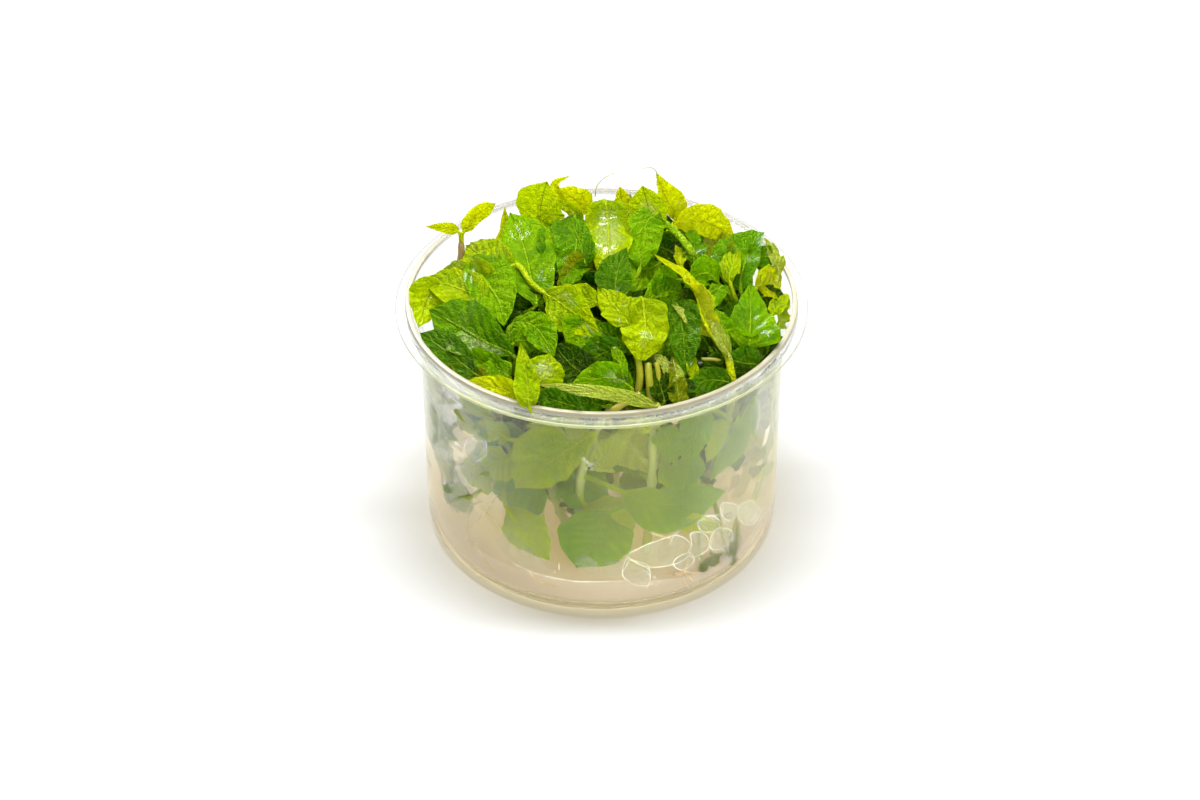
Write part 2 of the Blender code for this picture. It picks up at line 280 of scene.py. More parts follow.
def curvePoint(points, t):  # a smooth curve that passes every point
    if len(points) == 3:
        pull = 2 * points[1] - (points[0] + points[2]) / 2
        return points[0] * (1 - t) ** 2 + pull * (2 * t * (1 - t)) + points[2] * t ** 2
    last = len(points) - 1
    step = min(int(t * last), last - 1)
    u = t * last - step
    b, c = points[step], points[step + 1]
    a = points[step - 1] if step > 0 else b * 2 - c
    d = points[step + 2] if step + 2 <= last else c * 2 - b
    return spline(a, b, c, d, u)


def spline(a, b, c, d, u):  # from b to c, as u runs from 0 to 1
    return (b * 2 + (c - a) * u + (a * 2 - b * 5 + c * 4 - d) * u ** 2
            + (b * 3 - a - c * 3 + d) * u ** 3) / 2


def loopPoint(points, t):  # the same on a closed outline
    count = len(points)
    step = int(t * count)
    a, b, c, d = (Vector(points[(step + turn) % count]) for turn in (-1, 0, 1, 2))
    return spline(a, b, c, d, t * count - step)


def curveHeading(points, t):
    step = 0.01
    return (curvePoint(points, min(t + step, 1.0)) - curvePoint(points, max(t - step, 0.0))).normalized()


seamGap = 1e-7  # metres; closer points at a seam are one point
ribSpot = (0.5, 2.5)  # half way up a blade and on its midrib, two units away for the underside


def addRod(mesh, points, radius, rings, sides=8, span=(0.0, 1.0), offset=None, layer=None):
    # a round rod along a curve: a grid rolled up, its seam merged and its ends closed
    verts = bmesh.ops.create_grid(mesh, x_segments=rings, y_segments=sides, size=1.0)["verts"]
    across = curveHeading(points, span[0]).orthogonal().normalized()
    stations = []
    for ring in range(rings + 1):
        t = span[0] + (span[1] - span[0]) * ring / rings
        heading = curveHeading(points, t)
        across = (across - heading * across.dot(heading)).normalized()
        centre = curvePoint(points, t) + (offset(t) if offset else Vector())
        stations.append((centre, across, heading.cross(across), radius(t)))
    for vert in verts:
        centre, first, second, size = stations[round((vert.co.x + 1) / 2 * rings)]
        turn = math.pi * (vert.co.y + 1)
        vert.co = (centre + (first * math.cos(turn) + second * math.sin(turn)) * size) * mm
    faces = list({face for vert in verts for face in vert.link_faces})
    bmesh.ops.remove_doubles(mesh, verts=verts, dist=seamGap)
    faces = [face for face in faces if face.is_valid]
    rim = list({edge for face in faces for edge in face.edges if edge.is_boundary})
    faces += bmesh.ops.holes_fill(mesh, edges=rim, sides=sides)["faces"]
    if layer:  # on a leaf the rod looks like the underside of the midrib
        for face in faces:
            for loop in face.loops:
                loop[layer].uv = ribSpot
    bmesh.ops.recalc_face_normals(mesh, faces=faces)


# the cup: a thin turned tub, its plastic a little milky, with painted shade, highlights and glow at its lip,
# step, flange, brim and foot

cup = {
    "steps": 180,
    "height": 65.0,
    "flange": (50.0, 62.6, 63.4),  # radius, underside and top
    "lip": (47.5, 46.3),  # outer and inner radius
    "stepBottom": 58.6,
    "stepTop": 61.4,
    "neck": (0.7, 0.9),  # how far in and down the wall leaves the lip, outside
    "seat": (0.4, 0.4, 0.2, 0.8),  # inside: width, rise above the step, fall below it, and its rounding
    "wallTop": 44.3,
    "wallFoot": 43.8,
    "wall": 0.9,
    "corner": 4.5,
    "footRing": (34.0, 1.0),  # radius and slope
    "recess": 0.6,
    "floorTop": 1.5,
    "edgeRounding": 0.16,
    "sharpest": math.radians(35.0),  # edges that turn by more are rounded
    "roundedFrom": 10.0,
}
plasticMarks = {  # heights and distances from the axis at which the plastic changes its look, and where its painted marks lie: a dark lip band of painted reflection, painted highlight lines, painted highlights on the flange and brim, and a mist tinted by painted light
    "lip": (63.4, 64.3),
    "brim": (49.6, 49.85),
    "step": (61.3, 0.15, 0.6),  # a painted highlight line: its height, its core and its fade
    "foot": (0.7, 0.2, 0.9),
    "flangeReach": (47.4, 47.8, 48.6, 49.2),  # where it starts and is full, and starts to end and ends
    "flangeHeight": (62.2, 62.5, 63.5, 63.7),
    "mistAndPaintedLeafLight": (6.0, 18.0, 57.0, 59.0),
}


def wallRadius(height):  # the inner face of the wall
    share = min(max(height / cup["stepBottom"], 0.0), 1.0)
    return cup["wallFoot"] + (cup["wallTop"] - cup["wallFoot"]) * share - cup["wall"]


def cornerArc(radius, rise, size, start, end, steps):
    angles = [math.radians(start + (end - start) * step / steps) for step in range(steps + 1)]
    return [(radius + size * math.cos(angle), rise + size * math.sin(angle)) for angle in angles]


def cupOutline():
    corner = cup["wallFoot"] - cup["corner"]
    flange, under, top = cup["flange"]
    outerLip, innerLip = cup["lip"]
    ring, slope = cup["footRing"]
    neckIn, neckDown = cup["neck"]
    seatWidth, seatRise, seatFall, seatRounding = cup["seat"]
    outside = [(0.0, cup["recess"]), (ring - slope, cup["recess"]), (ring, 0.0)]
    outside += cornerArc(corner, cup["corner"], cup["corner"], -90, 0, 12)
    outside += [
        (cup["wallTop"], cup["stepBottom"]), (outerLip - neckIn, cup["stepTop"] - neckDown),
        (outerLip, cup["stepTop"]), (outerLip, under), (flange, under), (flange, top),
        (outerLip, top), (outerLip, cup["height"]),
    ]
    inside = [
        (innerLip, cup["height"]), (innerLip, cup["stepTop"] + seatRise),
        (innerLip - seatWidth, cup["stepTop"] - seatFall),
        (cup["wallTop"] - cup["wall"], cup["stepBottom"] + seatRounding),
    ]
    inside += cornerArc(corner, cup["corner"] + cup["wall"], cup["corner"] - cup["wall"], 0, -90, 10)
    return outside + inside + [(0.0, cup["floorTop"])]


def turned(outline, steps):
    mesh = bmesh.new()
    verts = [mesh.verts.new((r * mm, 0.0, z * mm)) for r, z in outline]
    edges = [mesh.edges.new(pair) for pair in zip(verts, verts[1:])]
    bmesh.ops.spin(mesh, geom=verts + edges, cent=(0, 0, 0), axis=(0, 0, 1),
                   angle=2 * math.pi, steps=steps, use_merge=True)
    bmesh.ops.remove_doubles(mesh, verts=mesh.verts, dist=seamGap)
    bmesh.ops.recalc_face_normals(mesh, faces=mesh.faces)
    return mesh


def band(skin, value, start, full, wane, end):
    return skin.ramp(value, start, full) * skin.fall(value, wane, end)


# a painted highlight line on the plastic, bright at a height and fading off either side
def paintedHighlightLine(skin, value, centre, core, fade):
    return skin.fall(abs(value - centre), core, fade)


def milkyPlastic():
    plastic = finish("milkyPlastic")
    where = plastic.place()
    wave = plastic.noise(where, 22.0, 3.0, 0.6)
    height = plastic.part(where, 2) * 1000.0
    radius = plastic.vector("LENGTH", plastic.vector("MULTIPLY", where, (1000.0, 1000.0, 0.0)), output=1)
    depth = plastic.part(where, 1) + wave * 0.02
    facing = plastic.facing()
    clear = plastic.surface({
        "Base Color": rgba(0.985, 0.985, 0.98),
        "Roughness": plastic.ramp(wave, 0.2, 0.9) * 0.04 + 0.02,
        "IOR": 1.49,
        "Transmission Weight": 1.0,
        "Normal": plastic.bump(wave, 0.00012, 0.4),
    })
    clear = plastic.mix(plastic.ramp(facing, 0.3, 0.95) * 0.75 + 0.06,
                        plastic.through("Transparent", 1.0, 1.0, 1.0), clear)
    # near and far halves of the cup; the painted marks below differ between them
    back = plastic.ramp(depth, 0.02, 0.045)
    front = plastic.fall(depth, -0.035, 0.0)
    lip = plastic.ramp(height, *plasticMarks["lip"])
    line = paintedHighlightLine(plastic, height, *plasticMarks["step"])
    foot = paintedHighlightLine(plastic, height, *plasticMarks["foot"])
    brim = plastic.ramp(radius, *plasticMarks["brim"])
    # painted highlight on the flange, on the near half only
    flange = band(plastic, radius, *plasticMarks["flangeReach"]) * front
    flange = flange * band(plastic, height, *plasticMarks["flangeHeight"])
    mistAndPaintedLeafLight = band(plastic, height, *plasticMarks["mistAndPaintedLeafLight"])
    # mist on the wall: real haze, its yellow-green tint painted light from the leaves behind it
    colour = plastic.blend(mistAndPaintedLeafLight, rgba(0.95, 0.95, 0.91), rgba(0.96, 0.97, 0.28))
    colour = plastic.blend(flange, colour, rgba(0.95, 0.95, 0.74))
    # painted reflection: the lip is a dark band, as if it showed the leaves around it, and fainter on the far
    # half
    colour = plastic.blend(lip, colour, rgba(0.32, 0.29, 0.19))
    # painted highlight lines at the step and at the foot
    colour = plastic.blend(line, colour, rgba(0.95, 0.98, 0.6))
    colour = plastic.blend(foot, colour, rgba(1.0, 0.96, 0.84))
    # the brim's edge: painted highlight on the near half, painted shade on the far half
    brimPaintedHighlightAndShade = plastic.blend(front, rgba(0.2, 0.18, 0.15), rgba(0.93, 0.96, 0.50))
    veil = plastic.surface({
        "Base Color": plastic.blend(brim, colour, brimPaintedHighlightAndShade),
        "Roughness": 0.35,
        "Specular IOR Level": 0.3,
        # the foot line glows: painted light
        "Emission Color": plastic.blend(foot, rgba(0.0, 0.0, 0.0), rgba(1.0, 0.93, 0.74)),
        "Emission Strength": 0.45,
    })
    share = plastic.ramp(plastic.noise(where, 55.0, 4.0, 0.4), 0.25, 0.8) * 0.01
    share = share + plastic.ramp(facing, 0.75, 1.0) * 0.15 + mistAndPaintedLeafLight * plastic.ramp(wave, 0.2, 0.7) * 0.065
    share = share + lip * (0.82 - back * 0.5) + line * 0.06 + foot * 0.6
    share = share + flange * 0.16 + brim * (front * 0.12 + 0.22)
    return plastic.show(plastic.mix(share, clear, veil))


def makeCup():
    mesh = turned(cupOutline(), cup["steps"])
    sharp = [edge for edge in mesh.edges
             if len(edge.link_faces) == 2 and edge.calc_face_angle() > cup["sharpest"]
             and edge.verts[0].co.z > cup["roundedFrom"] * mm]
    bmesh.ops.bevel(mesh, geom=sharp, offset=cup["edgeRounding"] * mm, offset_type="OFFSET",
                    affect="EDGES", segments=2, profile=0.5, material=-1)
    addPiece("clear_cup", mesh, milkyPlastic(), "cup", "cup")


makeCup()
print("cup turned")


# the gel: nutrient jelly, sunk at the front right

gel = {
    "gap": 0.3,
    "top": 10.0,
    "edgeRise": 0.5,
    "shoulder": 8.0,  # the side of the gel keeps its shape below this height
    "hollowDepth": 4.0,
    "hollowAngle": math.radians(-45.0),
    "hollowSpread": math.radians(24.0),
    "rings": 16,
    "ringCrowding": 1.3,
    "steps": 120,
    "dimple": 0.35,
    "ripples": (0.31, 0.27, 1.3, 0.6, 0.73, 0.52),
}


def gelHollow(x, y):
    turn = math.atan2(y, x) - gel["hollowAngle"]
    turn = math.atan2(math.sin(turn), math.cos(turn))
    reach = (math.hypot(x, y) / cup["wallFoot"]) ** 2
    return gel["hollowDepth"] * reach * math.exp(-((turn / gel["hollowSpread"]) ** 2))


def gelSurface(x, y):  # how high the gel stands at a point
    across, along, start, finer, finerAcross, finerAlong = gel["ripples"]
    ripple = (math.sin(x * across + start) * math.cos(y * along)
              + finer * math.sin(x * finerAcross - y * finerAlong))
    near = min(math.hypot(x, y) / cup["wallFoot"], 1.0)
    level = gel["top"] + gel["edgeRise"] * near ** 8 - gelHollow(x, y)
    return level - gel["dimple"] * (1 + ripple) * (1 - near ** 6) / 2


def agarJelly():
    jelly = finish("agarJelly")
    where = jelly.place()
    cloud = jelly.noise(where, 60.0, 4.0, 0.8)
    streak = jelly.noise(jelly.stretched(where, (1.0, 1.0, 6.0)), 70.0, 3.0, 0.5)
    tint = jelly.blend(cloud, rgba(0.84, 0.74, 0.56), rgba(0.93, 0.87, 0.73))
    body = jelly.surface({
        "Base Color": jelly.blend(jelly.ramp(streak, 0.55, 0.8) * 0.5, tint, rgba(0.95, 0.90, 0.78)),
        "Roughness": jelly.ramp(cloud, 0.3, 0.7) * 0.15 + 0.12,
        "IOR": 1.34,
        "Normal": jelly.bump(streak, 0.0003, 0.5),
    })
    cloudy = jelly.mix(0.5, body, jelly.through("Translucent", 0.97, 0.90, 0.74))
    return jelly.show(jelly.mix(0.3, cloudy, jelly.through("Transparent", 1.0, 0.84, 0.55)))


def makeGel():
    top, shoulder = gel["top"], gel["shoulder"]
    edge = cup["wallFoot"] - cup["wall"] - gel["gap"]
    corner = cup["wallFoot"] - cup["corner"]
    outline = [(0.0, cup["floorTop"] + gel["gap"])]
    outline += cornerArc(corner, cup["corner"] + cup["wall"], edge - corner, -90, 0, 8)
    outline += [(edge, shoulder), (edge, top)]
    rings = [(ring / gel["rings"]) ** gel["ringCrowding"] for ring in range(1, gel["rings"])]
    outline += [(edge * (1 - share), top) for share in rings] + [(0.0, top)]
    mesh = turned(outline, gel["steps"])
    for vert in mesh.verts:
        x, y, z = (value / mm for value in vert.co)
        if z > top - 0.01:
            vert.co.z = gelSurface(x, y) * mm
        elif z > shoulder - 0.1:
            vert.co.z -= gelHollow(x, y) * 0.5 * mm
    addPiece("nutrient_gel", mesh, agarJelly(), "gel", "gel")


makeGel()
print("gel poured")


# stems: foot on the gel, a point half way up, the head, and how pink the skin is

stemTable = {
    "stem_01": ((-23, 12), (-32, 16, 40), (-34.5, 18, 69.5), 0.9),
    "stem_02": ((-10, 15), (-15, 20, 36), (-16, 21, 64), 0.2),
    "stem_03": ((0, 20), (-2, 24, 38), (-2, 25, 68), 0.1),
    "stem_04": ((10, 15), (13, 21, 38), (13, 22, 67), 0.3),
    "stem_05": ((18, 8), (23, 7, 38), (24, 4, 70), 0.1),
    "stem_06": ((26, -3), (34, -5, 34), (36.5, -5, 59), 0.2),
    "stem_07": ((20, -18), (28, -24, 34), (31, -28, 60), 0.4),
    "stem_08": ((11, -29), (12, -38, 44), (11.3, -35, 63), 0.1),
    "stem_09": ((4, -6), (2, -8, 38), (3, -9, 67), 0.5),
    "stem_10": ((-8, -22), (-13, -31, 36), (-14, -32, 61), 0.2),
    "stem_11": ((-18, -11), (-25, -19, 34), (-21, -28, 62), 0.7),
    "stem_12": ((-21, 0), (-27, -3, 34), (-27, -3, 62), 0.3),
    "stem_13": ((-5, -28), (-4, -40, 46), (4.5, -38.5, 63), 0.2),
}
stemShape = {
    "footRadius": 1.15,
    "headRadius": 0.85,
    "startHeight": 10.7,
    "rootedDepth": 5.0,
    "rings": 60,
    "sides": 12,
    "joints": (0.16, 0.38, 0.58, 0.76, 0.9),  # swollen joints, up the stem
    "jointLength": 0.018,  # as a share of the stem
    "swelling": 0.35,
    "tipLength": 0.05,
}
stemColours = {
    "light": (0.30, 0.40, 0.04),
    "lighter": (0.52, 0.58, 0.16),
    "pink": (0.50, 0.25, 0.13),
    "glow": (0.62, 0.66, 0.10),
}


def stemPoints(name):
    (x, y), middle, head, _ = stemTable[name]
    return [Vector((x, y, stemShape["startHeight"] - gelHollow(x, y))), Vector(middle), Vector(head)]


def stemPoint(name, share):
    return curvePoint(stemPoints(name), share)


def stemRadius(t):
    foot, head, tipLength = (stemShape[key] for key in ("footRadius", "headRadius", "tipLength"))
    thick = foot + (head - foot) * min(max(t, 0.0), 1.0)
    swell = sum(math.exp(-(((t - joint) / stemShape["jointLength"]) ** 2)) for joint in stemShape["joints"])
    tip = math.sqrt(max(1 - max((t - (1 - tipLength)) / tipLength, 0.0) ** 2, 0.02))
    return thick * (1 + stemShape["swelling"] * swell) * tip


def rootedRadius(t):  # the foot of a stem, inside the gel
    return stemShape["footRadius"] * (0.55 + 0.42 * t)


def stemSkin(name, pink, light=stemColours["light"], lighter=stemColours["lighter"]):
    skin = finish(name)
    where = skin.place()
    fibre = skin.noise(skin.stretched(where, (1.0, 1.0, 0.08)), 900.0, 3.0)
    patch = skin.noise(where, 70.0, 2.0)
    green = skin.blend(patch, rgba(*light), rgba(*lighter))
    green = skin.blend(skin.ramp(fibre, 0.5, 0.75) * 0.5, green, scaled(lighter, 1.35))
    blush = skin.ramp(patch, 0.62 - 0.3 * pink, 0.8 - 0.2 * pink) * pink
    body = skin.surface({
        "Base Color": skin.blend(blush, green, rgba(*stemColours["pink"])),
        "Roughness": skin.ramp(fibre, 0.3, 0.8) * 0.2 + 0.3,
        "Coat Weight": 0.25,
        "Coat Roughness": 0.2,
        "Normal": skin.bump(fibre, 0.0001, 0.6),
    })
    return skin.show(skin.mix(0.3, body, skin.through("Translucent", *stemColours["glow"])))


def makeStems():
    for name, (_, _, _, pink) in stemTable.items():
        points = stemPoints(name)
        start = points[0]
        foot = Vector((start.x, start.y, gelSurface(start.x, start.y) - stemShape["rootedDepth"]))
        mesh = bmesh.new()
        addRod(mesh, points, stemRadius, stemShape["rings"], stemShape["sides"])
        rooted = [foot, start * 0.4 + foot * 0.6, start + Vector((0, 0, 0.6))]
        addRod(mesh, rooted, rootedRadius, 8, stemShape["sides"])
        addPiece("plant_" + name, mesh, stemSkin("skin_" + name, pink), "stem", name)


makeStems()
print("stems grown")


# leaves: the blade is a bent grid with a wall, on a round stalk that runs on as the midrib

tones = {  # upper side, its lighter patches, underside, light let through, and the share let through; the tones are partly the leaves' own colour and partly painted light: the brighter ones, glow most of all, stand for lit and backlit leaves, deep and shade for painted shade inside the clump
    "glow": ((0.60, 0.76, 0.001), (0.88, 0.94, 0.003), (0.64, 0.72, 0.03), (0.96, 1.0, 0.001), 0.56),
    "young": ((0.26, 0.47, 0.001), (0.62, 0.76, 0.002), (0.46, 0.60, 0.04), (0.86, 1.0, 0.001), 0.5),
    "fresh": ((0.09, 0.28, 0.001), (0.31, 0.55, 0.002), (0.31, 0.48, 0.04), (0.58, 0.92, 0.001), 0.48),
    "mid": ((0.040, 0.17, 0.001), (0.18, 0.40, 0.002), (0.25, 0.41, 0.04), (0.36, 0.78, 0.001), 0.43),
    "deep": ((0.014, 0.075, 0.001), (0.085, 0.24, 0.002), (0.16, 0.30, 0.03), (0.24, 0.64, 0.001), 0.38),
    "shade": ((0.006, 0.040, 0.001), (0.02, 0.085, 0.001), (0.06, 0.13, 0.01), (0.12, 0.42, 0.001), 0.32),
    "olive": ((0.14, 0.20, 0.003), (0.26, 0.31, 0.006), (0.34, 0.38, 0.05), (0.64, 0.70, 0.002), 0.46),
    "pale": ((0.50, 0.62, 0.06), (0.66, 0.75, 0.13), (0.68, 0.76, 0.17), (0.84, 0.94, 0.03), 0.48),
}
slots = {"glow": "leaf_young", "young": "leaf_young", "fresh": "leaf_mid", "mid": "leaf_mid",
         "deep": "leaf_deep", "shade": "leaf_deep", "olive": "leaf_deep", "pale": "leaf_pale"}
veins = {
    "pairs": 7.0,
    "slope": 1.9,
    "bend": 0.85,
    "halfWidth": 0.04,
    "colour": (0.42, 0.58, 0.01),
}
rust = (0.34, 0.16, 0.01)
# pale colour of the painted sheen patches on wet leaves
paintedSheen = (0.68, 0.74, 0.30)


def leafSkin(name, tone, wetGlossAndPaintedSheen):
    upper, lighter, under, glow, share = tones[tone]
    leaf = finish(name)
    where = leaf.place()
    flat = leaf.node("ShaderNodeUVMap", {"uv_map": "blade"})
    along = leaf.part(flat, 0)
    across = leaf.part(flat, 1)
    below = across > 1.5  # the underside is laid out two units away
    aside = abs(across - below * 2.0 - 0.5) * 2.0  # 0 on the midrib, 1 at the edge
    drift = leaf.noise(where, 45.0, 2.0)
    cloud = leaf.noise(where, 150.0, 4.0, 0.6)
    grain = leaf.noise(where, 1900.0, 2.0)

    # the midrib, the side veins that fan out from it, and two nets of finer ones
    fan = along * veins["pairs"] - leaf.math("POWER", aside, veins["bend"]) * veins["slope"]
    away = leaf.math("PINGPONG", fan + leaf.noise(where, 260.0, 3.0) * 0.8, 0.5)
    side = leaf.fall(away, 0.0, veins["halfWidth"])
    rib = leaf.fall(aside, 0.01, 0.075)
    vein = leaf.math("MAXIMUM", rib, side * 0.55)
    warp = leaf.node("ShaderNodeTexNoise", {}, {"Vector": where, "Scale": 420.0, "Detail": 2.0}, output=1)
    warp = leaf.node("ShaderNodeVectorMath", {"operation": "SCALE"}, {0: warp, "Scale": 0.0016})
    bent = leaf.vector("ADD", where, warp)
    cell = leaf.net(bent, 1500.0)
    net = leaf.fall(leaf.net(bent, 480.0), 0.02, 0.13)
    fine = leaf.fall(cell, 0.0, 0.24)

    # colour: lighter patches, darker between the veins, painted shade at the base, lighter tip and edge
    top = leaf.blend(leaf.ramp(cloud * 0.7 + drift * 0.5, 0.48, 0.70), rgba(*upper), rgba(*lighter))
    between = leaf.ramp(away, 0.1, 0.5) * leaf.ramp(cloud, 0.35, 0.6) * 0.65
    top = leaf.blend(between, top, scaled(upper, 0.5))
    top = leaf.blend(leaf.ramp(along * 0.7 + drift * 0.6, 0.62, 1.0) * 0.6, top, rgba(*lighter))
    # painted shade: darker towards the base, where the leaves crowd near the stem
    top = leaf.blend(leaf.ramp(along + cloud * 0.5, 0.85, 0.25) * 0.8, top, scaled(upper, 0.42))
    top = leaf.blend(leaf.ramp(aside + cloud * 0.4, 0.85, 1.25) * 0.4, top, rgba(*lighter))
    top = leaf.blend(leaf.ramp(grain, 0.52, 0.72) * 0.3, top, scaled(lighter, 1.3))
    skin = leaf.blend(below, top, leaf.blend(cloud, rgba(*under), scaled(under, 0.75)))
    line = rgba(*(own * 0.6 + pale * 0.35 for own, pale in zip(lighter, veins["colour"])))
    skin = leaf.blend(vein * 0.6 + net * 0.3 + fine * 0.15 + leaf.ramp(aside, 0.95, 1.0) * 0.35, skin, line)
    rusty = leaf.ramp(aside, 0.9, 1.0) * leaf.ramp(leaf.noise(where, 210.0, 2.0), 0.5, 0.7)
    skin = leaf.blend(rusty * 0.45, skin, rgba(*rust))

    wet = leaf.ramp(leaf.noise(where, 120.0, 4.0), 0.53, 0.62)
    if wetGlossAndPaintedSheen:  # a pale patch of painted sheen, also glossier, at a place on the blade and of a size
        centre = leaf.node("ShaderNodeCombineXYZ", {}, {0: wetGlossAndPaintedSheen[0], 1: wetGlossAndPaintedSheen[1]})
        far = leaf.vector("DISTANCE", flat, centre, output=1) + cloud * 0.5 + grain * 0.2
        speckle = leaf.ramp(leaf.noise(where, 900.0, 3.0) + cell * 0.25, 0.42, 0.66)
        patch = leaf.fall(far, wetGlossAndPaintedSheen[2] + 0.2, wetGlossAndPaintedSheen[2] + 0.42) * (speckle * 0.75 + 0.25)
        skin = leaf.blend(patch * 0.75, skin, rgba(*paintedSheen))
        wet = wet + patch * 3.0
    relief = leaf.ramp(away, 0.0, 0.5) * 0.4 - rib * 0.8 - net * 0.5 - fine * 0.3 + grain * 0.7 + cloud * 1.2
    body = leaf.surface({
        "Base Color": skin,
        "Roughness": leaf.ramp(cloud, 0.3, 0.75) * 0.16 + 0.28 + below * 0.2,
        "Specular IOR Level": 0.09,
        "Specular Tint": rgba(0.9, 1.0, 0.25),
        "Coat Weight": wet * 0.28 * (1.0 - below * 0.85),
        "Coat Roughness": 0.09,
        "Normal": leaf.bump(relief, 0.0011, 1.0),
    })
    factor = share * (1.0 - vein * 0.4 - net * 0.12) * (0.75 + drift * 0.5)
    return leaf.show(leaf.mix(factor, body, leaf.through("Translucent", *glow)))


skins = {}


def skinFor(tone, wetGlossAndPaintedSheen=None):  # one skin for each tone, and one more for each leaf with a glossy patch of painted sheen
    key = "leaf_" + tone + ("_dewy_%d_%d" % (wetGlossAndPaintedSheen[0] * 10, wetGlossAndPaintedSheen[1] * 10) if wetGlossAndPaintedSheen else "")
    if key not in skins:
        skins[key] = leafSkin(key, tone, wetGlossAndPaintedSheen)
    return skins[key]


full = (0.5, 0.92)  # how fast an outline opens at the base and closes at the tip
leafShape = {
    "cells": (44, 16),  # along and across the blade
    "baseCrowding": 1.15,  # the cells are closer together at the base
    "thickness": 0.26,
    "edgeThinning": 0.5,
    "stalkRadius": 0.6,
    "stalkSides": (20, 8),  # along and around
    "ribEnd": 0.86,  # as a share of the blade
    "swell": (0.58, 1.0),  # as full, for a slimmer blade
    "leastHalf": 0.05,
    "scallop": 0.02,
    "scallops": 5.5,
    "scallopFiner": (0.6, 2.3),  # how strong and how many times finer the second ripple is
    "waveFiner": (0.5, 2.2),
    "otherHalf": (2.1, 1.1),  # how far the right half's ripples and waves are out of step
    "pucker": 0.24,
    "puckerWidth": 9.0,  # narrower blades are puckered less
    "rib": (0.85, 0.8, 0.10),  # its share of the stalk's radius, how fast it thins, and its least radius
    "wallGap": 0.15,
    "stepGap": 0.5,
    "lipGap": 0.4,
    "openReach": 60.0,  # above the cup
}


def roomRadius(height):  # how far out a leaf may lie at a height
    if height < cup["stepTop"] + leafShape["stepGap"]:
        return wallRadius(height) - leafShape["wallGap"]
    return cup["lip"][1] - leafShape["lipGap"] if height < cup["height"] else leafShape["openReach"]


def keepWithin(point, most):
    reach = math.hypot(point.x, point.y)
    return Vector((point.x * most / reach, point.y * most / reach, point.z)) if reach > most else point


def keepInside(point):  # press a point against the inside of the cup
    return keepWithin(point, roomRadius(point.z))


def bladeWidth(b, swell):
    opening, closing = swell
    b = min(max(b, 0.0), 1.0)
    widest = opening / (opening + closing)
    top = widest ** opening * (1 - widest) ** closing
    return b ** opening * (1 - b) ** closing / top


def rippled(turns, b, phase, finer):  # a wave with a finer one on it
    strength, times = finer
    return (math.sin(2 * math.pi * turns * b + phase)
            + strength * math.sin(2 * math.pi * turns * times * b + phase * 2))


